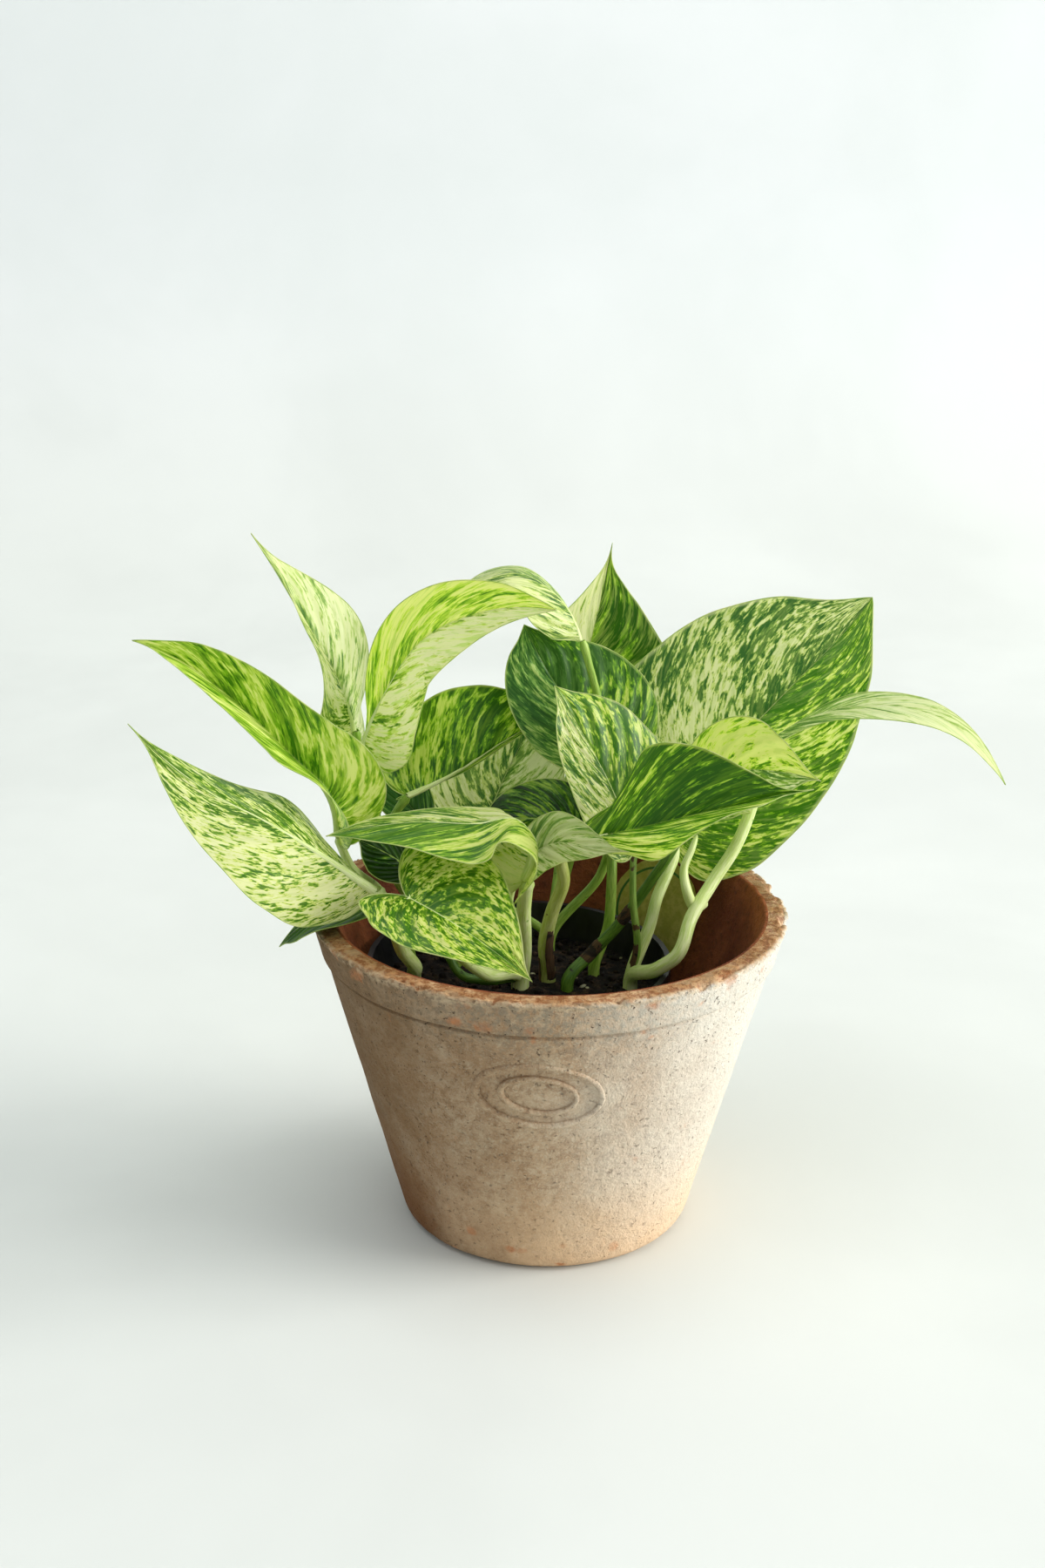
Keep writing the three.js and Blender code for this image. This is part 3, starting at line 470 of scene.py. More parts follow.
class Blade:
    """A leaf's blade as a surface: place(x, y), y from -1 at the left to 1 at the right."""

    def __init__(self, leaf):
        self.rib = SmoothPath(leaf["rib"])
        along = self.rib.direction(BLADE_WIDEST)
        middle = self.rib.at(BLADE_WIDEST)
        to_left = Vector(leaf["left"]) - middle
        to_right = Vector(leaf["right"]) - middle
        side = square_to(to_right - to_left, along)
        start = round(BLADE_WIDEST * FRAMES)
        self.normals = {start: side.cross(along).normalized()}
        for step, stop in ((1, FRAMES + 1), (-1, -1)):
            for i in range(start + step, stop, step):
                self.normals[i] = square_to(self.normals[i - step], self.rib.direction(i / FRAMES))
        tangent, normal, across = self.frame_at(start / FRAMES)
        self.halves = []
        for v, clasp in zip((to_left, to_right), leaf["clasp"]):
            self.halves.append(dict(
                clasp=math.radians(clasp), size=v.length, out=abs(v.dot(across)),
                rise=v.dot(normal), sweep=v.dot(tangent),
            ))
        self.reach = self.rib.length * VEIN_REACH
        self.width = sum(half["out"] for half in self.halves) / 2

    def frame_at(self, x):
        t = clamp(x)
        i = min(math.floor(t * FRAMES), FRAMES - 1)
        tangent = self.rib.direction(t)
        mixed = self.normals[i].lerp(self.normals[i + 1], t * FRAMES - i)
        normal = square_to(mixed, tangent)
        return tangent, normal, tangent.cross(normal)

    def place(self, x, y, wave=0):
        half = self.halves[0 if y < 0 else 1]
        v = abs(y)
        tangent, normal, across = self.frame_at(x)
        clasp = half["clasp"] * clamp(1 - x / CLASP_REACH) ** 2
        out = half["out"] * math.cos(clasp) - half["rise"] * math.sin(clasp)
        rise = half["out"] * math.sin(clasp) + half["rise"] * math.cos(clasp)
        bulge = BLADE_CUP * half["size"] * v * (1 - v) + wave
        return (
            self.rib.at(x) + across * (out * math.copysign(v, y))
            + normal * (rise * v + bulge) + tangent * (half["sweep"] * v)
        )


def put(name, data):
    piece = bpy.data.objects.new(name, data)
    bpy.context.scene.collection.objects.link(piece)
    return piece


class Sheet:
    """Vertices, faces, UVs and material slots that become one mesh object."""

    def __init__(self):
        self.points = []
        self.faces = []
        self.corners = []
        self.slots = []

    def point(self, place):
        """Adds a vertex and says its number."""
        self.points.append(place)
        return len(self.points) - 1

    def add(self, face, corners, slot=0):
        """Adds a face, without the corners that fall together."""
        keep = [i for i in range(len(face)) if face[i] not in face[:i]]
        if len(keep) > 2:
            self.faces.append([face[i] for i in keep])
            self.corners.append([corners[i] for i in keep])
            self.slots.append(slot)

    def rings(self, rows, closed, uv, slot=0, inward=False):
        """Faces from each ring of vertices to the next. uv(i, k) is the UV at a corner."""
        count = len(rows[0])
        for i in range(len(rows) - 1):
            for k in range(count if closed else count - 1):
                ends = [(i, k), (i, k + 1), (i + 1, k + 1), (i + 1, k)]
                if inward:
                    ends = [ends[0], *ends[:0:-1]]
                face = [rows[row][column % count] for row, column in ends]
                self.add(face, [uv(*end) for end in ends], slot)

    def tube(self, at, radius, rings, sides, slot=0, arc=(0, 1)):
        """A round tube along at(t), whose UV is the length in mm and the turn."""
        centres = [at(i / rings) for i in range(rings + 1)]
        closed = arc == (0, 1)
        side = Vector(TUBE_START)
        travelled = [0.0]
        rows = []
        for i, centre in enumerate(centres):
            before, after = centres[max(i - 1, 0)], centres[min(i + 1, rings)]
            tangent = (after - before).normalized()
            side = square_to(side, tangent)
            up = tangent.cross(side)
            if i:
                travelled.append(travelled[-1] + (centre - centres[i - 1]).length)
            row = []
            for k in range(sides if closed else sides + 1):
                turn = 2 * math.pi * (arc[0] + (arc[1] - arc[0]) * k / sides)
                out = side * math.cos(turn) + up * math.sin(turn)
                row.append(self.point(centre + out * radius(i / rings, turn)))
            rows.append(row)
        self.rings(rows, closed, lambda i, k: (travelled[i], k / sides), slot)

    def mesh(self, name, materials):
        mesh = bpy.data.meshes.new(name)
        mesh.from_pydata([point * MM for point in self.points], [], self.faces)
        layer = mesh.uv_layers.new(name="surface")
        flat = [value for face in self.corners for corner in face for value in corner]
        layer.data.foreach_set("uv", flat)
        for material in materials:
            mesh.materials.append(material)
        mesh.polygons.foreach_set("material_index", self.slots)
        mesh.polygons.foreach_set("use_smooth", [True] * len(self.faces))
        mesh.update()
        return put(name, mesh)

    def build(self, name, materials, replaces, slot):
        """A piece of the object, in the place of the CAD nodes that it replaces."""
        piece = self.mesh(name, materials)
        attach(piece, "root")
        if replaces:
            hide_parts(*replaces)
        return piece


class Value:
    """A number, colour or place that a node gives. What is done with it is further nodes."""

    def __init__(self, graph, socket):
        self.graph = graph
        self.socket = socket

    def __add__(self, other):
        return self.graph.math("ADD", self, other)

    def __sub__(self, other):
        return self.graph.math("SUBTRACT", self, other)

    def __mul__(self, other):
        return self.graph.math("MULTIPLY", self, other)

    def step(self, low, high, start=0, end=1):
        """start below low, end above high, and smooth between them."""
        entries = (self, low, high, start, end)
        return self.graph.node("MapRange", entries, interpolation_type="SMOOTHSTEP")

    def coat(self, share, tone):
        """This colour with a share of another over it."""
        return self.graph.mix(share, self, rgba(tone))


class Graph:
    """A material's nodes, written as calls. Entries are numbers, colours or Values."""

    def __init__(self, name):
        self.material = bpy.data.materials.new(name)
        self.material.use_nodes = True
        self.tree = self.material.node_tree
        self.tree.nodes.clear()
        self.output = self.tree.nodes.new("ShaderNodeOutputMaterial")

    def node(self, kind, entries, output=0, **settings):
        """One output of a new node, whose entries go by number or by name."""
        node = self.tree.nodes.new("ShaderNode" + kind)
        for setting, value in settings.items():
            setattr(node, setting, value)
        for key, value in entries.items() if isinstance(entries, dict) else enumerate(entries):
            if isinstance(value, Value):
                self.tree.links.new(value.socket, node.inputs[key])
            elif value is not None:
                node.inputs[key].default_value = value
        return Value(self, node.outputs[output])

    def math(self, operation, *entries):
        return self.node("Math", entries, operation=operation)

    def mix(self, share, first, second, blend="MIX"):
        entries = {0: share, 6: first, 7: second}
        return self.node("Mix", entries, 2, data_type="RGBA", blend_type=blend)

    def tones(self, share, first, second):
        return self.mix(share, rgba(first), rgba(second))

    def vector(self, x, y, z):
        return self.node("CombineXYZ", (x, y, z))

    def split(self, vector):
        return [self.node("SeparateXYZ", (vector,), axis) for axis in range(3)]

    def surface(self):
        """A Sheet's UV."""
        return self.split(self.node("UVMap", (), uv_map="surface"))[:2]

    def place(self):
        return self.node("TexCoord", (), "Object")

    def noise(self, vector, scale, detail=3, rough=0.55, warp=0):
        names = ("Vector", "Scale", "Detail", "Roughness", "Distortion")
        return self.node("TexNoise", dict(zip(names, (vector, scale, detail, rough, warp))))

    def distance(self, vector, point):
        return self.node("VectorMath", (vector, point), "Value", operation="DISTANCE")

    def ramp(self, value, stops):
        colour = self.node("ValToRGB", (value,))
        elements = colour.socket.node.color_ramp.elements
        for i, (position, tone) in enumerate(stops):
            element = elements[i] if i < 2 else elements.new(position)
            element.position = position
            element.color = rgba(tone)
        return colour

    def bump(self, height, distance, strength):
        entries = {"Strength": strength, "Distance": distance * MM, "Height": height}
        return self.node("Bump", entries)

    def principled(self, colour, rough, normal=None, specular=0.5):
        names = ("Base Color", "Roughness", "Normal", "Specular IOR Level")
        return self.node("BsdfPrincipled", dict(zip(names, (colour, rough, normal, specular))))

    def finish(self, shader):
        self.tree.links.new(shader.socket, self.output.inputs["Surface"])
        return self.material

    def finish_thin(self, shader, colour, normal, share):
        """The shader mixed with light that comes through from the far side."""
        glow = self.node("BsdfTranslucent", {"Color": colour, "Normal": normal})
        return self.finish(self.node("MixShader", (share, shader, glow)))


def leaf_material(name, leaf, blade, seed):
    """Marbling in flecks that run along the side veins, over the veins' own relief."""
    graph = Graph(f"leaf_{name}")
    s, across = graph.surface()
    v = graph.math("ABSOLUTE", across)
    size, stretch, soft = leaf["flecks"]
    lean = v * (-VEIN_CURVE * blade.width) + -VEIN_LEAN * blade.width
    along = lean * v + s * blade.reach
    out = across * blade.width

    def marbling(kind, size=1, stretch=1):
        along_scale, out_scale, offset, detail, rough, warp = MARBLING[kind]
        place = graph.vector(along * along_scale, out * (out_scale / stretch), seed + offset)
        return graph.noise(place, 1 / size, detail, rough, warp)

    fleck = marbling("fleck", size, stretch)
    patch = marbling("patch")
    cloud = marbling("cloud", 1, stretch)
    left, right = [(share - 0.5) * COVER_GAIN for share in leaf["cover"]]
    cover = across.step(-0.06, 0.06, left, right)
    cover = s.step(0.35, 0.95) * (leaf["tip"] * COVER_GAIN) + cover
    cover = cover + v.step(0, 0.35, 0.07, 0)
    level = fleck * FLECK_SHARE + patch * PATCH_SHARE + marbling("speck") * SPECK_SHARE
    level = level + cover - (FLECK_SHARE + PATCH_SHARE + SPECK_SHARE) / 2
    position = level * 2.0 + 0.5
    edge = FLECK_EDGE + FLECK_BLUR * soft
    sides = []
    for tone in leaf["tone"]:
        ground, pale, green, deep = TONES[tone]
        sides.append(graph.ramp(position, [
            (0.26, ground), (0.4 - 0.4 * edge, pale), (0.5 - edge, pale),
            (0.5 + edge, green), (0.6 + 0.6 * edge, green), (0.7 + edge, deep),
        ]))
    colour = graph.mix(across.step(-0.04, 0.04), *sides)
    ground, pale, green = TONES[leaf["tone"][0]][:3]
    medium = [(first + second) / 2 for first, second in zip(pale, green)]
    colour = colour.coat(cloud.step(0.48, 0.62, 0, 0.2 + 0.35 * soft), medium)
    colour = colour.coat(marbling("streak").step(0.52, 0.64, 0, 0.1 + 0.15 * soft), pale)
    # Side veins, the midrib and the thin pale margin
    veins = graph.math("PINGPONG", along * (SIDE_VEINS / blade.reach), 0.5)
    vein = veins.step(0, 0.07, 1, 0)
    colour = colour.coat(vein * v.step(0.1, 0.9, 0.16, 0.04), pale)
    rib = graph.math("DIVIDE", v, s.step(0, 1, *RIB_WIDTH)).step(0.4, 1.4, 1, 0)
    colour = colour.coat(rib * 0.45, pale)
    colour = colour.coat(v.step(0.965, 0.995) * 0.5, ground)
    grain = graph.noise(graph.place(), 1500, 2)
    relief = veins.step(0, 0.5) * 0.5 + v.step(0, 0.08) * 0.8 + patch * 0.4 + grain * 0.05
    normal = graph.bump(relief, 0.5, 0.55)
    shader = graph.principled(colour, patch.step(0.3, 0.7, 0.3, 0.42), normal, 0.34)
    glow = graph.mix(0.35, colour, rgba(GLOW_TINT), "MULTIPLY")
    glow = graph.mix(0.4, colour, glow)
    return graph.finish_thin(shader, glow, normal, LEAF_GLOW)


def margin_material():
    graph = Graph("leaf_margin")
    mottle = graph.noise(graph.place(), 120, 2).step(0.4, 0.6)
    colour = graph.tones(mottle, *MARGIN_TONES)
    return graph.finish_thin(graph.principled(colour, 0.45), colour, None, MARGIN_GLOW)


def stalk_material(name, light, body, mark, marked, rough=0.4):
    """Fine streaks along the stalk's length, and marks of another colour."""
    graph = Graph(f"stalk_{name}")
    along, turn = graph.surface()
    angle = turn * (2 * math.pi)
    ring = graph.vector(along * 0.05, graph.math("COSINE", angle), graph.math("SINE", angle))
    streak = graph.noise(ring, 3.2, 3, 0.6)
    mottle = graph.noise(graph.place(), 70, 3)
    spots = graph.noise(graph.place(), 160, 3, 0.6, 0.4)
    colour = graph.tones(streak.step(0.4, 0.62), light, body)
    colour = colour.coat(mottle.step(0.35, 0.7, 0, 0.5), body)
    colour = colour.coat(spots.step(marked, marked + 0.05), mark)
    normal = graph.bump(streak, 0.5, 0.4)
    return graph.finish_thin(graph.principled(colour, rough, normal), colour, normal, STALK_GLOW)


def clay_material():
    """Weathered clay: a pale bloom outside, bare clay at the lip and foot, brown inside, with painted
    shade at the left and a painted highlight at the right.
    """
    graph = Graph("aged_clay_painted_light")
    place = graph.place()
    x, y, z = [axis * (1 / MM) for axis in graph.split(place)]
    radius = graph.math("SQRT", x * x + y * y)
    wide = graph.noise(place, 22, 4, 0.6, 0.3)
    middle = graph.noise(place, 85, 5, 0.62, 0.4)
    fine = graph.noise(place, 420, 4, 0.65)
    tiny = graph.noise(place, 1300, 3, 0.6)
    stain = graph.noise(place, 190, 5, 0.68, 0.8)
    spot = graph.noise(place, 75, 3, 0.55, 0.3)
    pits = graph.noise(place, 620, 3, 0.7).step(0.62, 0.7)
    # A left-to-right measure for painted light: low where shade is painted at the left, high where light
    # is painted at the right
    shade_to_light = (wide - 0.5) * 50 + x
    # The mask of the painted light on the pot's right side, which is 0 in the painted shade at the left
    lit = shade_to_light.step(-50, 0)
    # The warm pale foot, painted only where the pot is lit
    foot = z.step(0, 40, 1, 0) * middle.step(0.35, 0.65) * lit * shade_to_light.step(0, 50, 0.7, 0.3)
    colour = graph.tones(wide.step(0.3, 0.7), (178, 146, 112), (196, 170, 138))
    for share, tone in (
        # The bloom, its stains and its grains
        (middle.step(0.4, 0.75, 0, 0.5), (196, 180, 152)),
        (fine.step(0.45, 0.66, 0, 0.5), (146, 114, 82)),
        (stain.step(0.5, 0.66, 0, 0.5), (138, 106, 76)),
        (stain.step(0.34, 0.46, 0.4, 0), (212, 196, 168)),
        (tiny.step(0.5, 0.66, 0, 0.45), (206, 192, 166)),
        # Grey speckle that thickens on the band
        (z.step(85, 112) * 0.75 * fine.step(0.4, 0.62), (150, 141, 122)),
        # Painted shade makes the clay darker and warmer to the left, and a painted highlight makes the
        # bloom paler to the right
        (shade_to_light.step(-80, 5, 0.9, 0), (110, 82, 50)),
        (shade_to_light.step(-10, 70, 0, 0.75), (226, 223, 212)),
        # Pits; a warm pale foot and lower wall painted only where the pot is lit; and painted shade, dark
        # and warm, on the foot at the left
        (pits * z.step(70, 110, 0.3, 0.85), (84, 66, 50)),
        (foot, (226, 190, 148)),
        (z.step(0, 55, 0.6, 0) * lit, (226, 190, 150)),
        (z.step(0, 60, 1, 0) * shade_to_light.step(-60, -10, 0.8, 0), (114, 68, 26)),
    ):
        colour = colour.coat(share, tone)
    # Bare clay near the foot and the rim, and in patches
    near_edge = z.step(0, 30, 0.09, 0) + z.step(90, 110, 0, 0.08)
    bare = (spot + near_edge).step(0.68, 0.8) * fine.step(0.3, 0.62, 0.9, 0.45)
    colour = colour.coat(bare, (194, 122, 74))
    for azimuth, height, size, strength in BARE_PATCHES:
        centre = turned(pot_outer(height), math.radians(azimuth), height) * MM
        away = graph.distance(place, centre) * (1 / (size * MM)) + middle * 2.4
        patch = away.step(1.5, 2.1, strength, 0) * fine.step(0.35, 0.6, 1, 0.6)
        colour = colour.coat(patch, (188, 116, 68))
    # Broken clay where the band is chipped
    chip = graph.tones(fine.step(0.4, 0.6), (150, 98, 58), (206, 170, 128))
    depth = radius - (pot_outer(z) + BAND_PROUD)
    colour = graph.mix(depth.step(-1.4, -0.5, 0.85, 0) * z.step(108, 112), colour, chip)
    # The lip's flat top and outer edge
    edge = (middle - 0.5) * 6 + z
    lip = graph.tones(fine.step(0.38, 0.62), (128, 78, 42), (168, 118, 72))
    lip = lip.coat(middle.step(0.5, 0.62, 0, 0.6), (180, 152, 116))
    colour = graph.mix(edge.step(POT_HEIGHT - 1.5, POT_HEIGHT + 0.5), colour, lip)
    rim = radius.step(LIP_OUTER - 2.2, LIP_OUTER - 0.8) * edge.step(POT_HEIGHT - 3.5, POT_HEIGHT - 1.5)
    colour = colour.coat(rim * fine.step(0.4, 0.6, 0.6, 0.1), (208, 186, 152))
    # The inner wall and the floor
    inside = graph.math("LESS_THAN", radius, pot_inner(z) + 1.6)
    inside = inside * graph.math("GREATER_THAN", z, FLOOR - 3)
    inner = graph.tones(wide.step(0.35, 0.65), (110, 56, 34), (162, 92, 56))
    inner = inner.coat(fine.step(0.5, 0.7, 0, 0.5), (70, 42, 28))
    colour = graph.mix(inside, colour, inner)
    normal = graph.bump(fine * 0.5 + middle * 0.8 + tiny * 0.25 - pits * 0.4, 1.7, 0.9)
    return graph.finish(graph.principled(colour, middle.step(0.3, 0.7, 0.95, 0.82), normal, 0.2))


def soil_material():
    graph = Graph("dark_soil")
    place = graph.place()
    coarse = graph.noise(place, 260, 4, 0.65)
    fine = graph.noise(place, 1100, 3, 0.65)
    colour = graph.ramp(coarse, SOIL_STOPS)
    normal = graph.bump(coarse + fine, 1.2, 1)
    return graph.finish(graph.principled(colour, 0.95, normal, 0.25))


def plain_material(name, dark, light, scale, rough, relief, specular=0.5):
    """A mottled solid colour with a fine relief."""
    graph = Graph(name)
    place = graph.place()
    mottle = graph.noise(place, scale, 4, 0.6, 0.3)
    colour = graph.tones(mottle.step(0.36, 0.64), dark, light)
    shine = mottle.step(0.3, 0.7, rough - 0.05, rough + 0.07)
    normal = graph.bump(graph.noise(place, scale * 6, 3), relief, 0.5)
    return graph.finish(graph.principled(colour, shine, normal, specular))


def label_material():
    """Brown paper with a thin green ring, without any lettering."""
    graph = Graph("brown_paper")
    place = graph.place()
    centre = turned(pot_inner(LABEL_HEIGHT), math.radians(LABEL_AZIMUTH), LABEL_HEIGHT) * MM
    distance = graph.distance(place, centre) * (1 / (LABEL_RADIUS * MM))
    fibre = graph.noise(place, 300, 4, 0.7)
    colour = graph.tones(fibre.step(0.4, 0.62), (170, 162, 72), (192, 180, 98))
    ring = graph.math("ABSOLUTE", distance - LABEL_RING)
    colour = colour.coat(ring.step(0.015, 0.03, 1, 0), (66, 110, 48))
    normal = graph.bump(fibre, 0.2, 0.5)
    return graph.finish(graph.principled(colour, 0.8, normal, 0.3))


def build_leaf(name, leaf, seed):
    """The blade, a fine bead round its margin and the raised rib below it."""
    blade = Blade(leaf)
    sheet = Sheet()

    def ripple(s, v, half):
        swell = noise_at((s * 4.2, half * 3, 0), 1, seed)
        curl = math.sin(2 * math.pi * (s * 2.6 + seed * 0.37 + half * 0.2))
        fan = s - (VEIN_LEAN * v + VEIN_CURVE * v * v) * blade.width / blade.reach
        pucker = math.cos(2 * math.pi * fan * SIDE_VEINS) * PUCKER * math.sin(math.pi * min(v * 1.1, 1))
        fade = smoothstep(0, 0.12, s) * smoothstep(1, 0.86, s)
        return (leaf["wave"] * v * v * (0.9 * swell + 0.45 * curl) - pucker) * fade

    def spot(row, column):
        if row == 0:
            return blade.place(0, 0)
        half = -1 if column < 0 else 1
        s, v = row / ROWS, abs(column) / COLUMNS
        rib_x = s**BLADE_SWEEP
        margin_x, margin_y = margin_at(s, leaf)
        margin_y *= 1 + 0.025 * noise_at((s * 9, half * 5, 0), 1, seed + 2)
        return blade.place(rib_x + (margin_x - rib_x) * v, half * margin_y * v, ripple(s, v, half))

    columns = range(-COLUMNS, COLUMNS + 1)
    rows = [[sheet.point(spot(row, column)) for column in columns] for row in range(1, ROWS)]
    ends = [[sheet.point(spot(row, 0))] * len(columns) for row in (0, ROWS)]
    rows = [ends[0], *rows, ends[1]]
    sheet.rings(rows, False, lambda i, k: (i / ROWS, columns[k] / COLUMNS))
    margin = [sheet.points[row[0]] for row in rows] + [sheet.points[row[-1]] for row in rows[-2::-1]]
    sheet.tube(lambda t: between(margin, t), lambda t, turn: MARGIN_BEAD, len(margin) - 1, 6, 1)

    def keel(t, turn=0):
        return max(leaf["radius"][1] * 0.85 * (1 - t) ** 1.3, 0.16)

    def under(t):
        return blade.rib.at(t) - blade.frame_at(t)[1] * (0.92 * keel(t))

    sheet.tube(under, keel, KEEL_RINGS, KEEL_SIDES, 2)
    skin = STALKS["green" if leaf["tone"][0] in ("deep", "blue") else "pale"]
    materials = [leaf_material(name, leaf, blade, seed), MARGIN, skin]
    sheet.build(f"leaf_{name}_blade", materials, [f"leaf_{name}"], "leaf_" + leaf["finish"])


def build_stalk(sheet, name, leaf):
    """A leaf's stalk from its stem's foot, and the dry husks that wrap it."""
    foot = [(*STEM_FEET[leaf["stem"]], height) for height in STEM_HEIGHTS]
    path = SmoothPath([*foot, *leaf["stalk"], leaf["rib"][0]])
    thick, thin = leaf["radius"]

    def radius(t, turn):
        body = thick + (thin - thick) * t
        swell = 1 + 0.05 * noise_at((t * 9, math.cos(turn), math.sin(turn)), 1, len(name) * 1.3)
        flare = 1 + 0.25 * smoothstep(0.93, 1, t) - 0.5 * smoothstep(0.985, 1, t)
        return body * swell * flare

    rings = max(24, round(path.length / STALK_RING))
    sheet.tube(path.at, radius, rings, STALK_SIDES, SKINS.index(leaf["skin"]))
    for low, high, arc, seed in HUSKS.get(name, ()):
        def middle(t):
            return path.at(low + (high - low) * t)

        def husk(t, turn):
            ragged = 1 + 0.12 * noise_at((t * 6, turn * 2, 1), 1.3, seed)
            swell = 1.0 + 0.12 * math.sin(math.pi * t)
            edge = 1.02 * ragged if 0.02 < t < 0.98 else 0.97
            return radius(low + (high - low) * t, turn) * swell * edge

        sheet.tube(middle, husk, HUSK_RINGS, HUSK_SIDES, SKINS.index("husk"), arc)


def build_shoot(sheet):
    """The bare hooked shoot, rounded at its end."""
    def radius(t, turn):
        return between(SHOOT_RADII, t) * math.sqrt(clamp((1 - t) * 14))

    sheet.tube(SmoothPath(SHOOT).at, radius, SHOOT_RINGS, STALK_SIDES, SKINS.index("pale"))


def build_stems():
    """Every stalk of one foot, in one piece."""
    for stem in STEM_FEET:
        sheet = Sheet()
        for name, leaf in LEAVES.items():
            if leaf["stem"] == stem:
                build_stalk(sheet, name, leaf)
        if stem == SHOOT_STEM:
            build_shoot(sheet)
        materials = [STALKS[skin] for skin in SKINS]
        sheet.build(f"stem_{stem}_stalks", materials, [f"stem_{stem}"], "stem")


def steps(start, stop, step):
    """Evenly spaced values from start up or down to stop, without stop."""
    return [start + step * i for i in range(math.ceil((stop - start) / step))]


def section_arc(x, y, radius, first, last, count):
    """Points of an arc round (x, y) between two angles in degrees."""
    turns = [math.radians(first + (last - first) * i / count) for i in range(count + 1)]
    return [(x + radius * math.cos(turn), y + radius * math.sin(turn)) for turn in turns]


def pot_profile():
    """Radius and height of the clay pot's section, from under the foot round to the floor."""
    points = [(radius, 0) for radius in (0, 8, 16, 26, 36, 42, FOOT_OUTER - FOOT_ROUND)]
    foot = section_arc(FOOT_OUTER - FOOT_ROUND, FOOT_ROUND, FOOT_ROUND, -90, 0, 8)
    points += [(foot[i][0] + i * FOOT_SPREAD, foot[i][1]) for i in range(1, 8)]
    groove = POT_HEIGHT - BAND_HEIGHT
    low = groove - GROOVE_HEIGHT
    points += [(pot_outer(height), height) for height in steps(FOOT_ROUND + 1.5, low, 1.6)]
    points += [
        (pot_outer(low), low), (pot_outer(low) - GROOVE_DEPTH * 0.7, low + 0.5),
        (pot_outer(low) - GROOVE_DEPTH, low + 1), (pot_outer(groove) - GROOVE_DEPTH * 0.3, groove - 0.4),
        (pot_outer(groove) + BAND_PROUD * 0.8, groove),
    ]
    band = steps(groove + 0.8, POT_HEIGHT - LIP_ROUND, 0.8)
    points += [(pot_outer(height) + BAND_PROUD, height) for height in band]
    points += section_arc(LIP_OUTER - LIP_ROUND, POT_HEIGHT - LIP_ROUND, LIP_ROUND, 0, 90, 5)
    width = LIP_OUTER - LIP_INNER - 2 * LIP_ROUND
    points += [(LIP_OUTER - LIP_ROUND - width * i / 9, POT_HEIGHT) for i in range(1, 9)]
    points += section_arc(LIP_INNER + LIP_ROUND, POT_HEIGHT - LIP_ROUND, LIP_ROUND, 90, 180, 5)
    wall = steps(POT_HEIGHT - 3, FLOOR + FLOOR_ROUND, -3)
    points += [(pot_inner(height), height) for height in wall]
    points += section_arc(FLOOR_INNER - FLOOR_ROUND, FLOOR + FLOOR_ROUND, FLOOR_ROUND, 0, -90, 4)
    return points + [(radius, FLOOR) for radius in (34, 26, 16, 8, 0)]


def stamp_depth(angle, height):
    """How deep the stamped oval lies in the clay, at an angle round the pot and a height."""
    turn = math.remainder(angle - math.radians(STAMP_AZIMUTH), 2 * math.pi)
    wide, tall = STAMP_RINGS[0][:2]
    across = turn * pot_outer(height) / wide
    reach = math.hypot(across, (height - STAMP_HEIGHT - STAMP_TILT * across) / tall)
    return STAMP_SUNK * smoothstep(1.02, 0.9, reach)


def pot_point(radius, height, angle):
    """A place on the pot's section at an angle, with its unevenness, wear and chips."""
    facing = turned(1, angle)
    spot = facing * radius + Vector((0, 0, height))
    outside = height > 0 and radius > pot_inner(max(height, FLOOR)) + 3
    away = Vector((radius, height, 0)) - Vector((LIP_OUTER, POT_HEIGHT, 0))
    near = smoothstep(4, 0.6, away.length)
    worn = 0.7 + 0.3 * smoothstep(-0.2, 0.7, math.cos(angle - math.radians(WORN_AZIMUTH)))
    bite = clamp(noise_at(facing * 26, 0.42, 7) * 1.5 + 0.35 * noise_at(facing * 90, 0.6, 2))
    crumb = clamp(noise_at(spot, 0.75, 5) + 0.1)
    chip = near * (worn * 2.6 * bite + 1.5 * crumb)
    if outside:
        uneven = 0.22 * noise_at(spot, 0.06) + 0.07 * noise_at(spot, 0.5, 3)
        if abs(height - GROOVE_MIDDLE) < 1.2:
            uneven += 0.5 * clamp(0.4 + noise_at(facing * 9, 0.3, 4))
        spot += facing * (uneven - chip * 0.85 - stamp_depth(angle, height))
    spot.z -= chip * 0.75
    if height == POT_HEIGHT:
        spot.z += 0.25 * noise_at(facing * 40, 0.3, 9) - 0.2 * crumb
    return spot


def build_pot():
    """The turned clay pot, uneven to the hand, with a chipped outer lip."""
    sheet = Sheet()
    rows = []
    for radius, height in pot_profile():
        if radius == 0:
            rows.append([sheet.point(Vector((0, 0, height)))] * POT_TURNS)
        else:
            angles = [2 * math.pi * k / POT_TURNS for k in range(POT_TURNS)]
            rows.append([sheet.point(pot_point(radius, height, angle)) for angle in angles])
    sheet.rings(rows, True, lambda i, k: (k / POT_TURNS, i))
    piece = sheet.build("clay_pot_body", [CLAY], ["terracotta_pot"], "terracotta")
    for i in range(DRAIN_COUNT):
        angle = (i + 0.5) * 2 * math.pi / DRAIN_COUNT
        bpy.ops.mesh.primitive_cylinder_add(
            vertices=32, radius=DRAIN_RADIUS * MM, depth=4 * FLOOR * MM,
            location=turned(DRAIN_CIRCLE, angle) * MM,
        )
        drill = bpy.context.object
        modifier = piece.modifiers.new("drain", "BOOLEAN")
        modifier.operation = "DIFFERENCE"
        modifier.solver = "EXACT"
        modifier.object = drill
        bpy.context.view_layer.objects.active = piece
        bpy.ops.object.modifier_apply(modifier=modifier.name)
        bpy.data.objects.remove(drill)


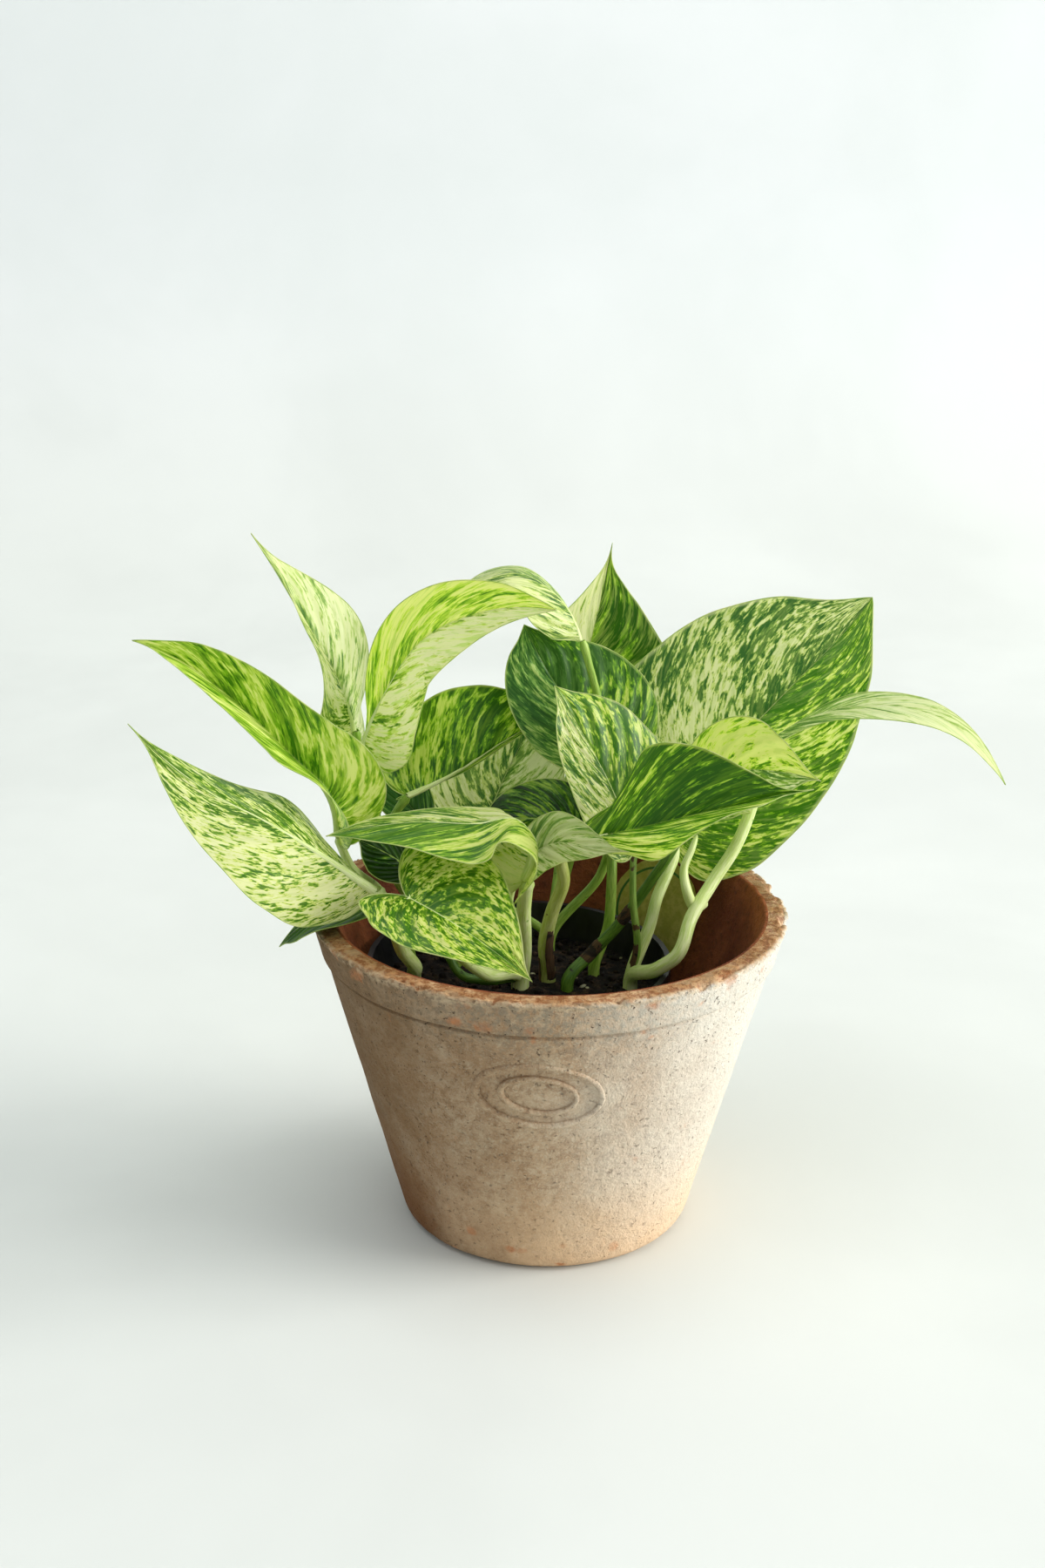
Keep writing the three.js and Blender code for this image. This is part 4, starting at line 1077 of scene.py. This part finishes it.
def build_stamp():
    """Two plain oval beads pressed into the front of the pot."""
    sheet = Sheet()
    for wide, tall, bead in STAMP_RINGS:
        def at(t):
            turn = 2 * math.pi * t
            height = STAMP_HEIGHT + tall * math.sin(turn) + STAMP_TILT * math.cos(turn)
            reach = pot_outer(height) - STAMP_SUNK * 0.5
            return turned(reach, math.radians(STAMP_AZIMUTH) + wide * math.cos(turn) / reach, height)

        def radius(t, turn):
            lap = 2 * math.pi * t
            rough = noise_at((3 * math.cos(lap), 3 * math.sin(lap), math.cos(turn)), 1, bead)
            return bead * (1 + 0.2 * rough - 0.15 * math.cos(lap))

        sheet.tube(at, radius, STAMP_STEPS, STAMP_SIDES)
    sheet.build("oval_stamp", [CLAY], (), "terracotta")


def on_soil(reach, angle, lift=0):
    """A place on the soil's uneven top, from the middle of the nursery pot."""
    spot = turned(reach, angle)
    rough = 1.1 * noise_at(spot, 0.09) + 0.8 * noise_at(spot, 0.3, 2) + 0.4 * noise_at(spot, 0.9, 5)
    height = SOIL_EDGE + SOIL_CROWN * (1 - (reach / SOIL_RADIUS) ** 2) + rough * 0.8
    return spot + Vector((NURSERY_X, NURSERY_Y, height + lift))


def build_soil():
    """The soil's top, with crumbs and pale bits on it."""
    dice = random.Random(4)
    sheet = Sheet()
    rows = [[sheet.point(on_soil(0, 0))] * SOIL_TURNS]
    for i in range(1, SOIL_RINGS + 1):
        reach = SOIL_RADIUS * i / SOIL_RINGS
        angles = [2 * math.pi * k / SOIL_TURNS for k in range(SOIL_TURNS)]
        rows.append([sheet.point(on_soil(reach, angle)) for angle in angles])
    sheet.rings(rows, True, lambda i, k: (i, k), inward=True)
    crumb = bmesh.new()
    bmesh.ops.create_icosphere(crumb, subdivisions=1, radius=1)
    shape = [vert.co.copy() for vert in crumb.verts]
    crumb_faces = [[vert.index for vert in face.verts] for face in crumb.faces]
    crumb.free()
    for i in range(CRUMBS):
        reach = (SOIL_RADIUS - 3) * math.sqrt(dice.random())
        angle = dice.uniform(0, 2 * math.pi)
        pale = i < PALE_CRUMBS
        size = dice.uniform(0.6, 1.5) if pale else dice.uniform(0.5, 2.1)
        stretch = Vector((dice.uniform(0.6, 1.7), dice.uniform(0.6, 1.2), dice.uniform(0.4, 0.9)))
        turn = Matrix.Rotation(dice.uniform(0, 6), 3, "Z")
        turn @= Matrix.Rotation(dice.uniform(-0.7, 0.7), 3, "X")
        foot = on_soil(reach, angle, size * 0.2)
        base = len(sheet.points)
        for corner in shape:
            uneven = 1 + 0.3 * noise_at(corner + Vector((i, 0, 0)), 1.4)
            sheet.point(foot + turn @ (corner * stretch * size * uneven))
        for face in crumb_faces:
            sheet.add([base + k for k in face], [(0, 0)] * 3, 1 if pale else 0)
    sheet.build("soil_surface", [SOIL, GRIT], ["soil"], "soil")


def dress(node, material):
    """Gives a CAD node its own finish."""
    for slot in bpy.data.objects[node].material_slots:
        slot.material = material


def area_light(name, place, target, size, power, colour):
    data = bpy.data.lights.new(name, "AREA")
    data.shape = "DISK"
    data.size = size
    data.energy = power
    data.color = colour
    lamp = put(name, data)
    lamp.location = place
    lamp.rotation_euler = (Vector(target) - Vector(place)).to_track_quat("-Z", "Y").to_euler()


def backdrop_material():
    """Pale paint, a little darker on the table than on the wall."""
    graph = Graph("pale_paint")
    place = graph.place()
    mottle = graph.noise(place, 3, 4, 0.6, 0.3).step(0.36, 0.64)
    table = graph.tones(mottle, (212, 215, 210), (219, 222, 217))
    wall = graph.tones(mottle, (224, 228, 227), (229, 232, 232))
    colour = graph.mix(graph.split(place)[2].step(0, BACKDROP_BEND * MM), table, wall)
    return graph.finish(graph.principled(colour, 0.8, None, 0.2))


def build_stage():
    """A pale table and wall in one sheet that bends up behind the plant."""
    foot = BACKDROP_WALL - BACKDROP_BEND
    section = [(-BACKDROP_REACH, 0), (foot, 0)]
    section += section_arc(foot, BACKDROP_BEND, BACKDROP_BEND, -90, 0, 8)[1:]
    section.append((BACKDROP_WALL, BACKDROP_HEIGHT))
    sheet = Sheet()
    ends = (-BACKDROP_REACH, BACKDROP_REACH)
    rows = [[sheet.point(Vector((x, y, z))) for x in ends] for y, z in section]
    sheet.rings(rows, False, lambda i, k: (i, k))
    piece = sheet.mesh("backdrop", [backdrop_material()])


def build_camera():
    """The photograph's own angle: from in front and above, with a very slight roll."""
    data = bpy.data.cameras.new("camera")
    data.lens = CAMERA_LENS
    data.sensor_width = 36
    data.clip_start = 0.02
    camera = put("camera", data)
    pitch = Matrix.Rotation(math.radians(90 - CAMERA_PITCH), 4, "X")
    roll = Matrix.Rotation(math.radians(CAMERA_ROLL), 4, "Z")
    camera.matrix_world = Matrix.Translation(Vector(CAMERA_AT) * MM) @ pitch @ roll
    bpy.context.scene.camera = camera


def build_sky():
    """An even light from all around."""
    world = bpy.data.worlds.new("soft_room")
    world.use_nodes = True
    background = world.node_tree.nodes["Background"]
    background.inputs[0].default_value = SKY_COLOUR
    background.inputs[1].default_value = SKY_STRENGTH
    bpy.context.scene.world = world
    bpy.context.scene.view_settings.view_transform = "Standard"


MARGIN = margin_material()
STALKS = {skin: stalk_material(skin, *look) for skin, look in STALK_LOOKS.items()}
CLAY = clay_material()
SOIL = soil_material()
GRIT = plain_material("pale_grit", (150, 140, 110), (196, 190, 160), 300, 0.85, 0.3, 0.3)
PLASTIC = plain_material("black_plastic", (14, 15, 17), (24, 25, 28), 90, 0.38, 0.12)

build_pot()
build_stamp()
build_soil()
dress("nursery_pot", PLASTIC)
dress("paper_label", label_material())
build_stems()
for order, (leaf_name, entry) in enumerate(LEAVES.items()):
    build_leaf(leaf_name, entry, 3.7 * order + 1.9)
build_stage()
build_camera()
build_sky()
for light_name, light in LIGHTS.items():
    area_light(light_name, *light)
